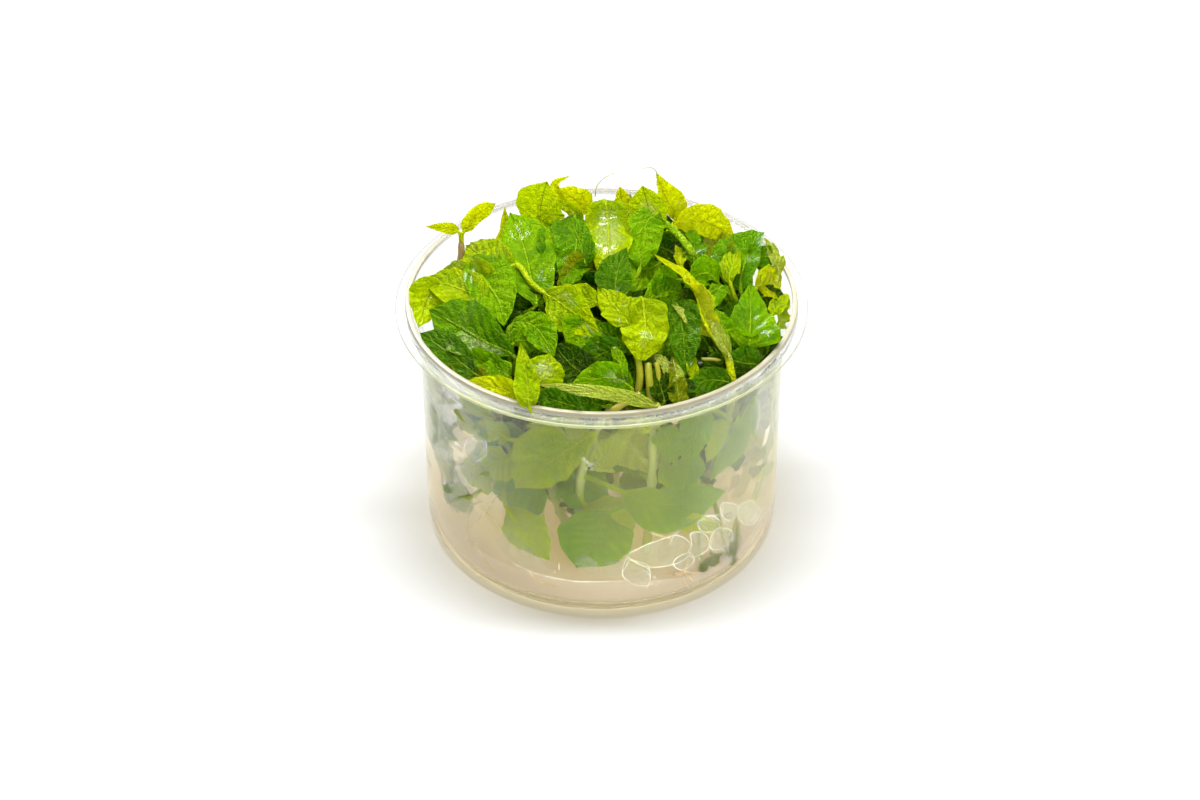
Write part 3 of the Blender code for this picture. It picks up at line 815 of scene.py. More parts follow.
def addLeaf(mesh, points, width, faces=(0, -4, 3), stalk=None, fold=12.0, roll=0.0, twist=0.0, curl=0.0,
            wave=0.8, waves=2.5, phase=0.0, scallops=None, rod=1.0, cells=None, halves=None, ends=(0.0, 0.0)):
    shape = leafShape
    alongCells, acrossCells = cells or shape["cells"]
    points = [Vector(point) for point in points]
    stalk = 1 / (len(points) - 1) if stalk is None else stalk
    chord = points[-1] - curvePoint(points, stalk)
    level = chord.cross(Vector(faces)).normalized()
    turn = chord.normalized()
    folds = fold if isinstance(fold, tuple) else (fold, fold)  # one angle for each half
    tilts = [math.radians(angle) for angle in folds]
    pucker = shape["pucker"] * min(width / shape["puckerWidth"], 1.0)
    scallops = scallops or shape["scallops"]
    layer = mesh.loops.layers.uv.get("blade") or mesh.loops.layers.uv.new("blade")

    def sides(b):  # along the midrib: the way across and the way up
        heading = curveHeading(points, stalk + (1 - stalk) * b)
        side = level.copy()
        side.rotate(Quaternion(turn, math.radians(roll + twist * (b - 0.5))))
        side = (side - heading * side.dot(heading)).normalized()
        return side, side.cross(heading)

    def halfWidth(b, right):
        if halves:
            return max(curvePoint([ends[0], *halves[right], ends[1]], b), 0.0)
        return width / 2 * bladeWidth(b, shape["swell"])

    def lay(b, s):  # b from the blade's base to its tip, s from edge to edge
        side, upper = sides(b)
        right = s > 0
        lags = shape["otherHalf"] if right else (0.0, 0.0)
        ripple = rippled(scallops, b, phase * 3 + lags[0], shape["scallopFiner"])
        reach = (halfWidth(b, right) * (1 + shape["scallop"] * ripple) + shape["leastHalf"]) * s
        lift = abs(reach) * math.sin(tilts[right]) + curl * width * s * s
        edge = abs(s) ** 1.6 * math.sin(math.pi * min(b * 1.15, 1.0)) ** 0.5
        lift += wave * edge * rippled(waves, b, phase + lags[1], shape["waveFiner"])
        beat = b * veins["pairs"] - abs(s) ** veins["bend"] * veins["slope"]
        lift += pucker * (0.5 - 0.5 * math.cos(2 * math.pi * beat)) * min(abs(s) * 4, 1) * (1 - abs(s) ** 3)
        spine = curvePoint(points, stalk + (1 - stalk) * b)
        return keepInside(spine + side * (reach * math.cos(tilts[right])) + upper * lift)

    grid = bmesh.ops.create_grid(mesh, x_segments=alongCells, y_segments=acrossCells, size=1.0)["verts"]
    blade = list({face for vert in grid for face in vert.link_faces})
    wall = bmesh.ops.solidify(mesh, geom=blade, thickness=0.5)["geom"]
    shell = set(blade) | {face for face in wall if isinstance(face, bmesh.types.BMFace)}
    shell |= {face for vert in grid for face in vert.link_faces}
    verts = {vert for face in shell for vert in face.verts}
    flats = {vert: (1 - (1 - (vert.co.x + 1) / 2) ** shape["baseCrowding"], vert.co.y, abs(vert.co.z) > 0.25)
             for vert in verts}
    for face in shell:
        under = 2.0 if all(flats[vert][2] for vert in face.verts) else 0.0
        for loop in face.loops:
            b, s, _ = flats[loop.vert]
            loop[layer].uv = (b, 0.5 + s / 2 + under)
    for vert, (b, s, low) in flats.items():
        place = lay(b, s)
        if low:
            upper = sides(b)[1]
            place = keepInside(place - upper * shape["thickness"] * (1 - shape["edgeThinning"] * abs(s) ** 4))
        vert.co = place * mm
    bmesh.ops.recalc_face_normals(mesh, faces=list(shell))

    def rodRadius(t):
        ribShare, thinning, least = shape["rib"]
        b = (t - stalk) / (1 - stalk)
        thick = shape["stalkRadius"] * min(0.6 + width / 20, 1.0)
        if b < 0:
            return thick * rod * (1.25 - 0.35 * t / max(stalk, 0.01))
        return max(thick * ribShare * (1 - b) ** thinning, least) * (1 + (rod - 1) * max(1 - b * 6, 0))

    def rodOffset(t):  # the midrib stands out below the blade
        b = max((t - stalk) / (1 - stalk), 0.0)
        return sides(b)[1] * (-rodRadius(t) * 0.8 * min(b * 8, 1.0))

    ribSpan = (0.0, stalk + (1 - stalk) * shape["ribEnd"])
    addRod(mesh, points, rodRadius, *shape["stalkSides"], ribSpan, rodOffset, layer)


uneven = {  # how much the leaves differ from an even shape
    "seed": 4,
    "stations": (0.2, 0.4, 0.6, 0.8),  # where the half widths are, from base to tip
    "halves": (0.88, 1.14),
    "fold": (-14.0, 14.0),
    "flat": 6.0,  # a blade that is folded less stays even
    "phase": (0.0, 6.0),
}


def unevenHalves(draw, width, swell):
    even = [width / 2 * bladeWidth(share, swell or leafShape["swell"]) for share in uneven["stations"]]
    return tuple(tuple(half * draw.uniform(*uneven["halves"]) for half in even) for side in range(2))


def unevenBends(draw, width, more):
    fold = more.get("fold", 12.0)
    bends = {key: value for key, value in more.items() if key not in ("wet", "swell")}
    if "halves" not in bends:
        bends["halves"] = unevenHalves(draw, width, more.get("swell"))
    if not isinstance(fold, tuple) and abs(fold) > uneven["flat"]:
        bends["fold"] = tuple(fold + draw.uniform(*uneven["fold"]) for side in range(2))
    bends["phase"] = draw.uniform(*uneven["phase"])
    return bends


leafDraw = random.Random(uneven["seed"])


def growLeaf(mesh, stem, share, path, width, more, cells=None):
    points = [stemPoint("stem_%02d" % stem, share), *path]
    addLeaf(mesh, points, width, cells=cells, **unevenBends(leafDraw, width, more))


# each leaf: tone, the number of its stem and where on it, points from the blade's base to its tip,
# width and bends; in these, halves are half widths on each side, ends the same at base and tip,
# rod the stalk's thickness, and wet a glossier patch with a painted pale sheen

broad = dict(swell=full)
pressed = dict(fold=3)  # flat on the wall
pressedBroad = dict(pressed, swell=full)
leafTable = {
    "leaf_01": ("glow", 1, 0.99, [(-34, 18.5, 71), (-31, 20.5, 74.5), (-26, 22.5, 77)], 4.7, dict(
        halves=((1.7, 1.9, 2, 1.7), (1.6, 1.8, 1.9, 1.6)), fold=(16, 6), wave=0.3, scallops=3)),
    "leaf_02": ("glow", 1, 0.96, [(-35, 18, 71.5), (-38.5, 17.5, 73), (-43, 17, 73.8)], 3.9, dict(
        halves=((1.3, 1.4, 1.1, 0.6), (1.3, 1.5, 1.2, 0.7)), fold=(20, 4), wave=0.3)),
    "leaf_03": ("young", 2, 0.97, [(-15, 22, 65), (-15.5, 26, 72), (-13.5, 30, 78.5)], 13.2, dict(
        halves=((2, 4, 6.2, 5.4), (3.2, 6.4, 5.4, 3.4)), fold=(18, 6), wave=0.8)),
    "leaf_04": ("fresh", 12, 0.97, [(-16, -17, 73.5), (-17, -6, 75.5), (-19.5, 11.5, 73.5),
        (-22.5, 22, 74.5)], 14.2, dict(halves=((4.5, 5.8, 5.8, 3.6), (4.5, 6.8, 7.6, 5.2)), fold=(16, 4),
        wave=0.7)),
    "leaf_05": ("mid", 3, 0.96, [(-6.5, 26, 71), (-6, 5.5, 77.5), (-7, -3, 76.5), (-9, -11, 74.5)], 11.3,
        dict(swell=full, wave=1, waves=4, scallops=7)),
    "leaf_06": ("young", 3, 0.98, [(0.5, 17, 81.5), (1.5, 11, 79), (1.5, -1.5, 79.5), (0, -10, 76.5)], 10.3,
        dict(halves=((4.8, 5.8, 5.4, 3.2), (5.2, 5.4, 4.6, 2.8)), ends=(3.2, 0), fold=-14, curl=-0.05,
        wet=(0.5, 0.5, 0.28))),
    "leaf_07": ("young", 4, 0.97, [(12, 18, 69.5), (11.5, 21, 75), (10, 25, 80.5)], 10, dict(
        halves=((3.6, 4.6, 4.8, 3.8), (3, 4.4, 4.6, 3.2)), wave=0.5, roll=-12, wet=(0.5, 0.45, 0.28))),
    "leaf_08": ("glow", 4, 0.96, [(18, 24, 70.5), (16, 27, 75), (13.5, 30, 81)], 7, dict(
        halves=((1.6, 2.2, 2, 1), (3.6, 4.6, 3.6, 1.8)), fold=(16, 4), roll=10)),
    "leaf_09": ("fresh", 5, 0.98, [(21.5, 5.5, 74.5), (17.5, 10.5, 77), (12.5, 12, 80), (10.5, 7, 79),
        (12.5, -0.5, 76)], 8.3, dict(stalk=0.5, fold=(26, 10), rod=1.5,
        halves=((3.4, 5.2, 5, 3.4), (2.8, 4.2, 4, 2.4)))),
    "leaf_10": ("glow", 5, 0.95, [(18, 15.5, 74), (25, 20, 73), (33, 22, 67)], 8.3, dict(
        halves=((2.6, 4.2, 4.6, 3.4), (2.6, 3.4, 3.8, 2.6)), fold=(4, 20), wave=0.8, scallops=7)),
    "leaf_11": ("mid", 6, 0.97, [(33.5, -3, 69), (35, 8, 69.5), (38.5, 18, 71.5)], 12.7, dict(
        halves=((6.4, 8.4, 8.2, 5.6), (3, 3.6, 3.4, 2.4)), ends=(3, 1.5), fold=(2, 30), wave=0.6,
        wet=(0.6, 0.3, 0.05))),
    "leaf_12": ("glow", 6, 0.99, [(37, -1.5, 68), (41, 4.5, 65.5), (45.5, 14.5, 60.5)], 5.9, dict(
        halves=((2.6, 4.2, 4.4, 3), (2.4, 3.8, 4.2, 2.8)), fold=(12, 2), wave=0.7)),
    "leaf_13": ("young", 6, 0.93, [(31, -5, 71.5), (31.5, 1.5, 72.5), (34, 12.5, 70)], 6.5, dict(
        halves=((2.4, 3.4, 2.8, 1.4), (1.8, 2.2, 1.8, 0.9)), fold=(30, 14), roll=-12)),
    "leaf_14": ("fresh", 9, 0.98, [(9, -5, 76), (9, 0, 77.5), (10.5, 7.5, 77)], 7.4, dict(
        halves=((2.6, 3.8, 4.2, 3.2), (2.4, 3.6, 3.8, 2.6)), fold=(10, 24))),
    "leaf_15": ("deep", 9, 0.97, [(3.5, -18.5, 75.5), (3.5, -10.5, 78), (6, -0.5, 79.5)], 8.8, dict(
        halves=((3.8, 5.2, 4.4, 2.6), (3, 3.8, 3.2, 1.6)), fold=(8, 16))),
    "leaf_16": ("young", 1, 0.9, [(-21.5, -5, 73.5), (-27.5, 6, 71.5), (-33.5, 21, 65.5)], 9.3, dict(
        halves=((2.8, 4.6, 5, 3.4), (3.4, 5.2, 4.8, 3)), fold=(16, 6), wave=0.8, scallops=7)),
    "leaf_17": ("fresh", 12, 0.96, [(-32, 6.5, 71), (-28, -5.5, 73.5), (-24.5, -14.5, 73.5),
        (-23, -21, 71)], 12.3, dict(halves=((4.6, 6.8, 6.2, 3.6), (3.6, 5, 4.6, 2.6)), fold=(16, 2),
        wave=0.5)),
    "leaf_18": ("young", 12, 0.93, [(-39, 2.5, 66), (-42.5, 0, 64), (-44, -9.5, 62.5)], 9.8, dict(
        halves=((4, 4.8, 4.4, 2.8), (3.6, 5, 4.8, 3.2)), wave=1, waves=3, scallops=8, fold=(4, 20))),
    "leaf_19": ("mid", 11, 0.98, [(-20.5, -29.5, 68.5), (-27.5, -24.5, 69), (-34, -17.5, 68.5),
        (-41.5, -6.5, 65.5)], 12.7, dict(halves=((2.6, 4.8, 6.2, 4.6), (4.2, 7.2, 7.6, 4.8)), fold=(2, 18),
        wet=(0.45, 0.25, 0.26))),
    "leaf_20": ("deep", 11, 0.94, [(-28.5, -31.5, 64), (-36, -22.5, 64), (-43.5, -12, 62.5)], 8.3, dict(
        halves=((2.6, 3.8, 4, 2.6), (3, 4.4, 4.6, 3.2)), fold=(4, 16), wave=0.6, wet=(0.5, 0.7, 0.05))),
    "leaf_21": ("glow", 11, 0.88, [(-19, -40.5, 64.5), (-25, -37, 65), (-32.5, -32.5, 63)], 5.6, dict(
        fold=14)),
    "leaf_22": ("young", 12, 0.99, [(-21, -3, 76), (-16.5, -11.5, 76.5), (-11.5, -18, 77), (-6, -23.5, 76),
        (0, -28.5, 73)], 7.2, dict(stalk=0.5, halves=((3.6, 5.4, 4.4, 2.2), (2.8, 5, 5.2, 3)), fold=(20, 4),
        wave=0.7, rod=1.2, wet=(0.35, 0.3, 0.08))),
    "leaf_23": ("young", 9, 0.93, [(-1, -19.5, 76.5), (-5.5, -17, 76.5), (-11, -15.5, 75.5)], 6.9, dict(
        fold=14)),
    "leaf_24": ("fresh", 9, 0.88, [(-2.5, -23, 74.5), (-5, -26.5, 73.5), (-8, -29.5, 71)], 8.3, dict(
        halves=((3.2, 5, 4.6, 2.8), (3, 4.4, 4.6, 2.8)), fold=(14, 4), wet=(0.4, 0.4, 0.15))),
    "leaf_25": ("deep", 9, 0.8, [(4.5, -28.5, 70.5), (-0.5, -30.5, 69.5), (-5.5, -34, 68)], 8.8, dict(
        halves=((3, 4.8, 5, 3.2), (3.2, 4.6, 4.6, 2.8)), fold=(6, 18), wet=(0.5, 0.7, 0.06))),
    "leaf_26": ("young", 9, 0.92, [(6.5, -26, 74.5), (3, -21.5, 77), (-1, -15.5, 78.5)], 7.4, dict(
        halves=((2.8, 3.8, 3.2, 1.8), (3.4, 4.4, 3.4, 1.6)), fold=(20, 6))),
    "leaf_27": ("young", 9, 0.6, [(8.5, -19, 77), (10, -25, 77), (10, -31, 75), (9, -35, 71.5)], 11.3, dict(
        halves=((5.6, 5.8, 5.4, 3.8), (5.6, 5.8, 5.6, 4.4)), ends=(3.6, 1), fold=-16, wave=1.1, waves=3,
        wet=(0.75, 0.5, 0.03))),
    "leaf_28": ("deep", 8, 0.98, [(17, -18, 75), (19, -25.5, 72.5), (19.5, -35, 66.5)], 7.8, dict(
        halves=((3.6, 5, 4.4, 2.6), (4, 4.4, 3.6, 2)), fold=(26, -6), wave=0.9, roll=-6,
        wet=(0.5, 0.3, 0.05))),
    "leaf_29": ("fresh", 13, 0.98, [(7, -39.5, 66.5), (1, -38, 68.5), (-8, -39.5, 66)], 7.1, dict(
        halves=((2.8, 4.2, 4, 2.4), (2.4, 3.6, 3.8, 2.4)), fold=(14, 4), wet=(0.35, 0.6, 0.1))),
    "leaf_30": ("pale", 8, 0.93, [(13, -44.5, 65), (5.5, -43.5, 67), (-2.5, -42.5, 68), (-15.5, -38.5, 67)],
        3.4, dict(swell=(0.5, 0.7), wave=0.3)),
    "leaf_31": ("deep", 10, 0.86, [(-5.5, -44, 64), (-10.5, -42.5, 65), (-15.5, -39.5, 65)], 6.4, broad),
    "leaf_32": ("young", 10, 0.98, [(-15, -38.5, 66.5), (-13, -36, 69), (-12, -32, 71)], 9.3, dict(
        halves=((3.2, 4.8, 4.8, 3.2), (3, 4.6, 4.6, 3)), fold=-8, wet=(0.5, 0.4, 0.12))),
    "leaf_33": ("young", 10, 0.9, [(-16.5, -44.5, 64), (-17.5, -38.5, 68), (-19, -29, 72)], 8.3, dict(
        halves=((2.8, 3.4, 2.6, 1.4), (2.4, 3, 2.6, 1.4)), fold=(24, 10), wave=0.7)),
    "leaf_34": ("fresh", 11, 0.99, [(-21.5, -22, 71.5), (-16, -24.5, 73.5), (-11, -31.5, 70)], 7.8, dict(
        halves=((1.4, 3, 4.2, 3.4), (1.6, 2.6, 3.4, 2.6)), fold=(8, 16), rod=1.4, wave=0.4)),
    "leaf_35": ("deep", 8, 0.88, [(29.5, -34.5, 63.5), (25, -35, 65.5), (19.5, -39, 65)], 6.6, broad),
    "leaf_36": ("deep", 7, 0.93, [(37, -26.5, 63), (33, -27.5, 65), (29, -27.5, 66.5)], 7.8, dict(
        halves=((3, 4.6, 4.6, 2.6), (3.4, 4.6, 4.2, 2.4)), fold=(14, 2))),
    "leaf_37": ("glow", 7, 0.98, [(30.5, -33, 64.5), (29.5, -28.5, 68), (26.5, -25.5, 71), (24, -22, 74),
        (22.5, -16, 76.5), (19, -10.5, 78.5), (12.5, -4, 80)], 12.3, dict(twist=-150, stalk=0.42,
        halves=((4, 5.2, 3.6, 1.8), (3.4, 4.6, 4, 1.8)), fold=(20, 4), roll=90, rod=1.5)),
    "leaf_38": ("fresh", 6, 0.94, [(35, -22.5, 65.5), (35.5, -14, 69), (36, -2, 70.5)], 13.2, dict(
        halves=((5, 5, 3.8, 2), (7, 6.2, 4.2, 2)), fold=(18, 2), wave=0.7)),
    "leaf_39": ("young", 13, 0.62, [(-2, -42.5, 55.5), (-8.5, -42, 50), (-14.5, -40, 43.5),
        (-20.5, -37.5, 35.5)], 14.7, dict(halves=((3.6, 5.2, 6, 4.6), (6, 9, 9.2, 6.4)), fold=3, scallops=4,
        faces=(-1, -4, 0))),
    "leaf_40": ("young", 11, 0.6, [(-21.5, -36.5, 44.5), (-25, -34.5, 40), (-29.5, -30.5, 34.5)], 7.4, dict(
        halves=((3.2, 4.6, 4.2, 2.4), (3.6, 5, 4.6, 2.6)), fold=3, faces=(-3, -4, 0))),
    "leaf_41": ("young", 11, 0.35, [(-23, -36, 28.5), (-18.5, -38, 23), (-12.5, -40.5, 15.5)], 10.3, dict(
        halves=((4.4, 6.6, 6.2, 3.6), (4, 6.2, 6.2, 3.6)), fold=3, faces=(-1, -4, 0))),
    "leaf_42": ("fresh", 8, 0.28, [(2, -42.5, 32), (-1.5, -42.5, 24), (-6, -42, 14.5)], 17.2, dict(
        halves=((6.6, 9, 9, 6.4), (6.4, 9, 9.2, 6.6)), fold=2, faces=(0, -4, 0))),
    "leaf_43": ("fresh", 7, 0.78, [(23.5, -35.5, 58), (22, -36.5, 50.5), (19.5, -38, 43)], 6.9, dict(
        halves=((3.6, 5, 4.6, 2.6), (3.4, 4.6, 4.2, 2.4)), fold=3, faces=(1, -3, 0))),
    "leaf_44": ("fresh", 6, 0.74, [(36.5, -22, 52.5), (33.5, -26, 43.5), (26, -33.5, 34.5)], 8.8, dict(
        halves=((3.6, 5.6, 5.2, 3), (3.8, 5.2, 5, 3)), fold=3, faces=(3, -3, 0))),
    "leaf_45": ("fresh", 13, 0.4, [(4.5, -42.5, 38.5), (15, -40, 31.5), (30, -30, 28.5)], 9.3, dict(
        halves=((3, 5, 5.6, 4), (4, 7, 7.4, 5)), fold=3, faces=(1, -4, 1))),
}

for name, (tone, *leaf) in leafTable.items():
    mesh = bmesh.new()
    growLeaf(mesh, *leaf)
    addPiece("plant_" + name, mesh, skinFor(tone, leaf[-1].get("wet")), slots[tone], name)
print("leaves grown:", len(leafTable))


# more leaves between and behind those: first above the rim, then on the wall below it; those in the shade
# tone are painted shade in the gaps

betweenLeaves = [
    ("glow", 2, 0.95, [(-24.5, 24, 62.5), (-24, 27, 66.5), (-24, 29, 71.5)], 2.9, dict(fold=25)),
    ("glow", 3, 0.96, [(-7, 27, 70), (-10, 30, 73), (-11.5, 32, 76), (-8, 34, 77.5)], 3.2, dict(
        fold=22, stalk=0.25)),
    ("glow", 3, 0.97, [(-3, 29, 69), (-6.5, 31, 72.5), (-11, 32, 75)], 6.5, dict(roll=10)),
    ("young", 3, 0.93, [(-4.5, 26, 69), (-7.5, 28, 71.5), (-11.5, 29, 74)], 3.4, dict(fold=25)),
    ("olive", 3, 0.88, [(-1, 0, 75), (-5.5, -5, 74.5), (-11, -10.5, 73.5)], 9.8, dict(
        fold=16, wave=0.5, swell=full, faces=(0, -3, 4))),
    ("glow", 4, 0.93, [(5, 27, 70), (5, 29, 73.5), (4.5, 30, 77)], 4.2, {}),
    ("pale", 4, 0.95, [(8, 26, 68), (7.5, 28, 71.5), (7, 30, 75)], 2.2, dict(fold=20)),
    ("young", 12, 0.9, [(-27.5, -13, 71.5), (-35, -1.5, 68.5), (-43, 10, 63)], 10.8, dict(
        fold=8, curl=0.05, swell=full, faces=(0, -3, 4))),
    ("young", 12, 0.92, [(-25.5, -7.5, 72), (-32, 1, 70.5), (-39.5, 10.5, 65)], 8.8, broad),
    ("young", 2, 0.9, [(-21, 0, 73), (-26.5, 8, 71.5), (-32.5, 21.5, 66)], 7.6, dict(
        wave=0.6, swell=full, roll=14)),
    ("fresh", 2, 0.88, [(-19.5, -7.5, 72), (-22.5, 2, 72.5), (-23, 15.5, 71)], 8.3, broad),
    ("mid", 3, 0.96, [(-3.5, -3.5, 76.5), (-5.5, 5.5, 77.5), (-8, 19.5, 75)], 8.5, dict(
        wave=0.7, fold=14, swell=full, scallops=7, roll=-12)),
    ("mid", 2, 0.92, [(-13, 2, 74), (-12, 10.5, 74), (-10, 19, 74)], 8.3, dict(swell=full, wave=0.5)),
    ("young", 3, 0.9, [(-10.5, 24, 67.5), (-12.5, 27, 71), (-13.5, 29, 74.5)], 5.4, {}),
    ("mid", 5, 0.95, [(22.5, 2.5, 72.5), (22, 10, 73), (21.5, 20, 72)], 6, dict(roll=12)),
    ("olive", 5, 0.93, [(29.5, 6.5, 70), (28.5, 15.5, 69), (26.5, 28.5, 66)], 8.1, dict(
        wave=0.5, swell=full, scallops=7, roll=-14)),
    ("glow", 5, 0.9, [(19.5, 1, 72.5), (19, 6.5, 73), (18.5, 13, 72.5)], 2.9, {}),
    ("pale", 6, 0.98, [(43, 9, 64), (42, 13, 67.5), (40, 17, 70.5)], 4.2, dict(fold=24, roll=20)),
    ("shade", 6, 0.9, [(37, -4, 65.5), (41, 1.5, 64), (45, 4.5, 61.5)], 5.4, {}),
    ("fresh", 6, 0.88, [(28, -2.5, 70.5), (24, -2, 73), (19.5, -9.5, 74)], 7.4, dict(
        curl=0.04, swell=full, faces=(0, -3, 4))),
    ("fresh", 6, 0.86, [(30, -5.5, 71), (27, -10, 71.5), (24.5, -17.5, 71)], 4.6, dict(roll=15)),
    ("fresh", 7, 0.97, [(30, -21.5, 68), (28.5, -18.5, 70), (27, -14.5, 71.5)], 4.4, dict(fold=18)),
    ("fresh", 7, 0.93, [(39, -21, 63), (33, -20.5, 67), (26, -21, 69.5)], 5.2, dict(roll=-20)),
    ("shade", 6, 0.85, [(36, -25.5, 63), (40, -19.5, 63), (44, -13, 62)], 6.9, broad),
    ("young", 6, 0.92, [(42, -11, 63.5), (44, -4.5, 63), (46, 3, 62)], 4.7, dict(roll=20)),
    ("young", 6, 0.9, [(40.5, -8, 64.5), (43, -1.5, 63.5), (46, 6.5, 61.5)], 3.7, dict(roll=-20)),
    ("mid", 6, 0.96, [(35.5, 8, 67.5), (39, 12, 68), (41.5, 15, 69.5)], 6.4, broad),
    ("young", 8, 0.93, [(20.5, -35.5, 66), (21, -32, 68), (20.5, -28.5, 70)], 2.9, {}),
    ("shade", 8, 0.9, [(14.5, -41.5, 64), (13.5, -37.5, 66.5), (13, -32.5, 69)], 5.4, broad),
    ("olive", 8, 0.86, [(17.5, -43, 63.5), (17.5, -38.5, 67), (16.5, -32, 70.5)], 4.6, dict(
        swell=full, roll=15)),
    ("pale", 9, 0.8, [(17, -35.5, 66.5), (15.5, -34, 68.5), (12, -31, 70.5)], 3.7, dict(roll=10)),
    ("fresh", 9, 0.8, [(5, -37, 67.5), (4, -33.5, 70.5), (2, -29, 72.5)], 2.9, {}),
    ("mid", 9, 0.82, [(6.5, -28.5, 70), (2.5, -26, 71.5), (-2, -22.5, 72.5)], 6.9, broad),
    ("shade", 10, 0.93, [(-3.5, -37.5, 66.5), (-7.5, -32.5, 68.5), (-11.5, -27, 70)], 10, dict(
        swell=full, roll=-10)),
    ("fresh", 11, 0.9, [(-21.5, -34.5, 66), (-25, -31.5, 66), (-29, -29.5, 65.5)], 5.4, dict(
        wave=0.5, swell=full, scallops=8)),
    ("olive", 11, 0.87, [(-26.5, -33, 64), (-31, -29.5, 63.5), (-36, -25, 63)], 4.4, {}),
    ("deep", 13, 0.93, [(0.5, -43, 64), (-3, -42, 64.5), (-7.5, -40.5, 64.5)], 4.4, broad),
    ("pale", 8, 0.95, [(21, -25.5, 72), (20, -22.5, 74.5), (16.5, -19, 76)], 2.7, dict(stalk=0.3, roll=10)),
    ("shade", 12, 0.93, [(-13.5, -14, 71.5), (-18, -15, 70), (-23, -16.5, 68.5)], 9.8, broad),
    ("shade", 9, 0.85, [(-7, -12.5, 72.5), (-11, -17.5, 71), (-12.5, -24, 69)], 10.8, broad),
    ("shade", 3, 0.85, [(0.5, -4.5, 73), (-3, -7.5, 72.5), (-7, -11.5, 72)], 8.3, broad),
    ("shade", 5, 0.85, [(20, 6.5, 70), (16, 10, 71.5), (12, 11, 72.5)], 10.8, broad),
    ("shade", 7, 0.9, [(23, -16, 67.5), (26, -21, 65.5), (29.5, -24.5, 63)], 12.3, broad),
    ("deep", 7, 0.93, [(35, -18.5, 63.5), (32.5, -12, 66), (31, -5, 67.5)], 10.8, broad),
    ("mid", 9, 0.86, [(12, -13.5, 73), (16, -10.5, 73.5), (19.5, -10, 72.5)], 8.8, broad),
    ("fresh", 5, 0.88, [(19, -5.5, 73.5), (15, -9, 75), (10, -15, 75)], 7.4, broad),
    ("deep", 7, 0.93, [(26, -25, 66.5), (23, -20.5, 69.5), (21, -14, 72)], 7.4, broad),
    ("fresh", 4, 0.92, [(14, 2, 73.5), (10.5, -3, 74), (7, -11, 74)], 9.8, broad),
    ("shade", 12, 0.86, [(-19.5, -22.5, 69), (-24, -19, 68.5), (-31.5, -11.5, 66.5)], 9.8, broad),
    ("fresh", 11, 0.9, [(-22.5, -32, 66), (-28.5, -27.5, 65.5), (-36, -22, 64)], 6.4, broad),
    ("mid", 13, 0.95, [(2, -40.5, 64), (-2.5, -38.5, 65), (-9.5, -37.5, 65)], 7.4, broad),
    ("shade", 8, 0.9, [(20.5, -39, 62), (15.5, -37.5, 64), (10, -35, 66)], 9.8, broad),
    ("shade", 7, 0.88, [(34.5, -29.5, 60), (29.5, -30, 63), (23, -29.5, 65.5)], 8.3, broad),
    ("mid", 9, 0.93, [(-3, 3, 73), (1, -3, 73), (5.5, -11.5, 72)], 12.3, broad),
    ("fresh", 11, 0.93, [(-21, -26.5, 69.5), (-18, -26, 70.5), (-13, -26, 71)], 6.4, {}),
    ("pale", 7, 0.97, [(30, -30, 68.5), (27.5, -26, 72), (25.5, -22, 75.5)], 3.6, dict(fold=20, rod=1.3)),
    ("pale", 10, 0.5, [(-2, -38, 52), (2, -37, 46), (6, -35, 38)], 12, dict(broad, faces=(0, -3, 1))),
    ("pale", 8, 0.45, [(5, -37, 50), (11, -36, 44), (16, -33, 38)], 12, dict(broad, faces=(0, -3, 1))),
    ("young", 13, 0.3, [(-4, -37, 30), (2, -36, 25), (8, -34, 20)], 13, dict(broad, faces=(0, -3, 1))),
    ("young", 7, 0.3, [(16, -34, 34), (20, -32, 28), (25, -28, 24)], 12, dict(broad, faces=(1, -3, 1))),
    ("pale", 12, 0.5, [(-41, -11.5, 41), (-39.5, -17, 33), (-36.5, -22.5, 24)], 11, dict(
        pressed, faces=(-3, -3, 0))),
    ("pale", 11, 0.4, [(-27, -33, 36.5), (-30.5, -30, 33.5), (-34, -26.5, 32)], 9.5, dict(
        pressed, faces=(-3, -4, 0))),
    ("pale", 11, 0.3, [(-31.5, -29, 26), (-35, -25, 22.5), (-36.5, -22.8, 18.5)], 8, dict(
        pressed, faces=(-3, -3, 0))),
    ("glow", 11, 0.7, [(-35, -25, 49.3), (-30.5, -30.2, 47), (-26.5, -33.5, 46.2)], 4.5, dict(
        pressed, faces=(-3, -4, 0))),
    ("young", 12, 0.7, [(-41.5, -9, 57), (-40.5, -13, 53), (-37, -20.5, 47)], 7.4, dict(
        pressedBroad, faces=(-3, -2, 0))),
    ("pale", 12, 0.72, [(-42, -4, 54), (-42.5, -2, 48), (-42, -5, 40)], 7.8, dict(
        pressedBroad, faces=(-3, -1, 0))),
    ("young", 11, 0.8, [(-33, -27, 57.5), (-30.5, -29.5, 55.5), (-25, -34, 53.5)], 6.4, dict(
        pressed, faces=(-2, -3, 0))),
    ("young", 6, 0.75, [(42, -7, 57), (42, -9, 51), (40.5, -14, 43)], 7.6, dict(
        pressedBroad, faces=(3, -2, 0))),
    ("pale", 6, 0.7, [(42.6, 2, 52), (42.5, -2, 45), (42, -7, 37)], 7.0, dict(
        pressedBroad, faces=(3, -1, 0))),
    ("pale", 10, 0.85, [(-4, -42, 58), (-11, -41, 56), (-18, -38.5, 55)], 6.6, dict(
        pressedBroad, faces=(-1, -4, 0))),
    ("pale", 13, 0.85, [(3, -42, 57), (9, -41.5, 57.5), (15, -40, 57)], 5.6, dict(
        pressedBroad, faces=(1, -4, 0))),
    ("mid", 10, 0.5, [(-8, -37, 40), (-4, -36, 34), (2, -35, 29)], 13, dict(broad, faces=(0, -3, 1))),
    ("fresh", 8, 0.5, [(14, -37, 46), (19, -35, 40), (25, -31, 36)], 13, dict(broad, faces=(1, -3, 1))),
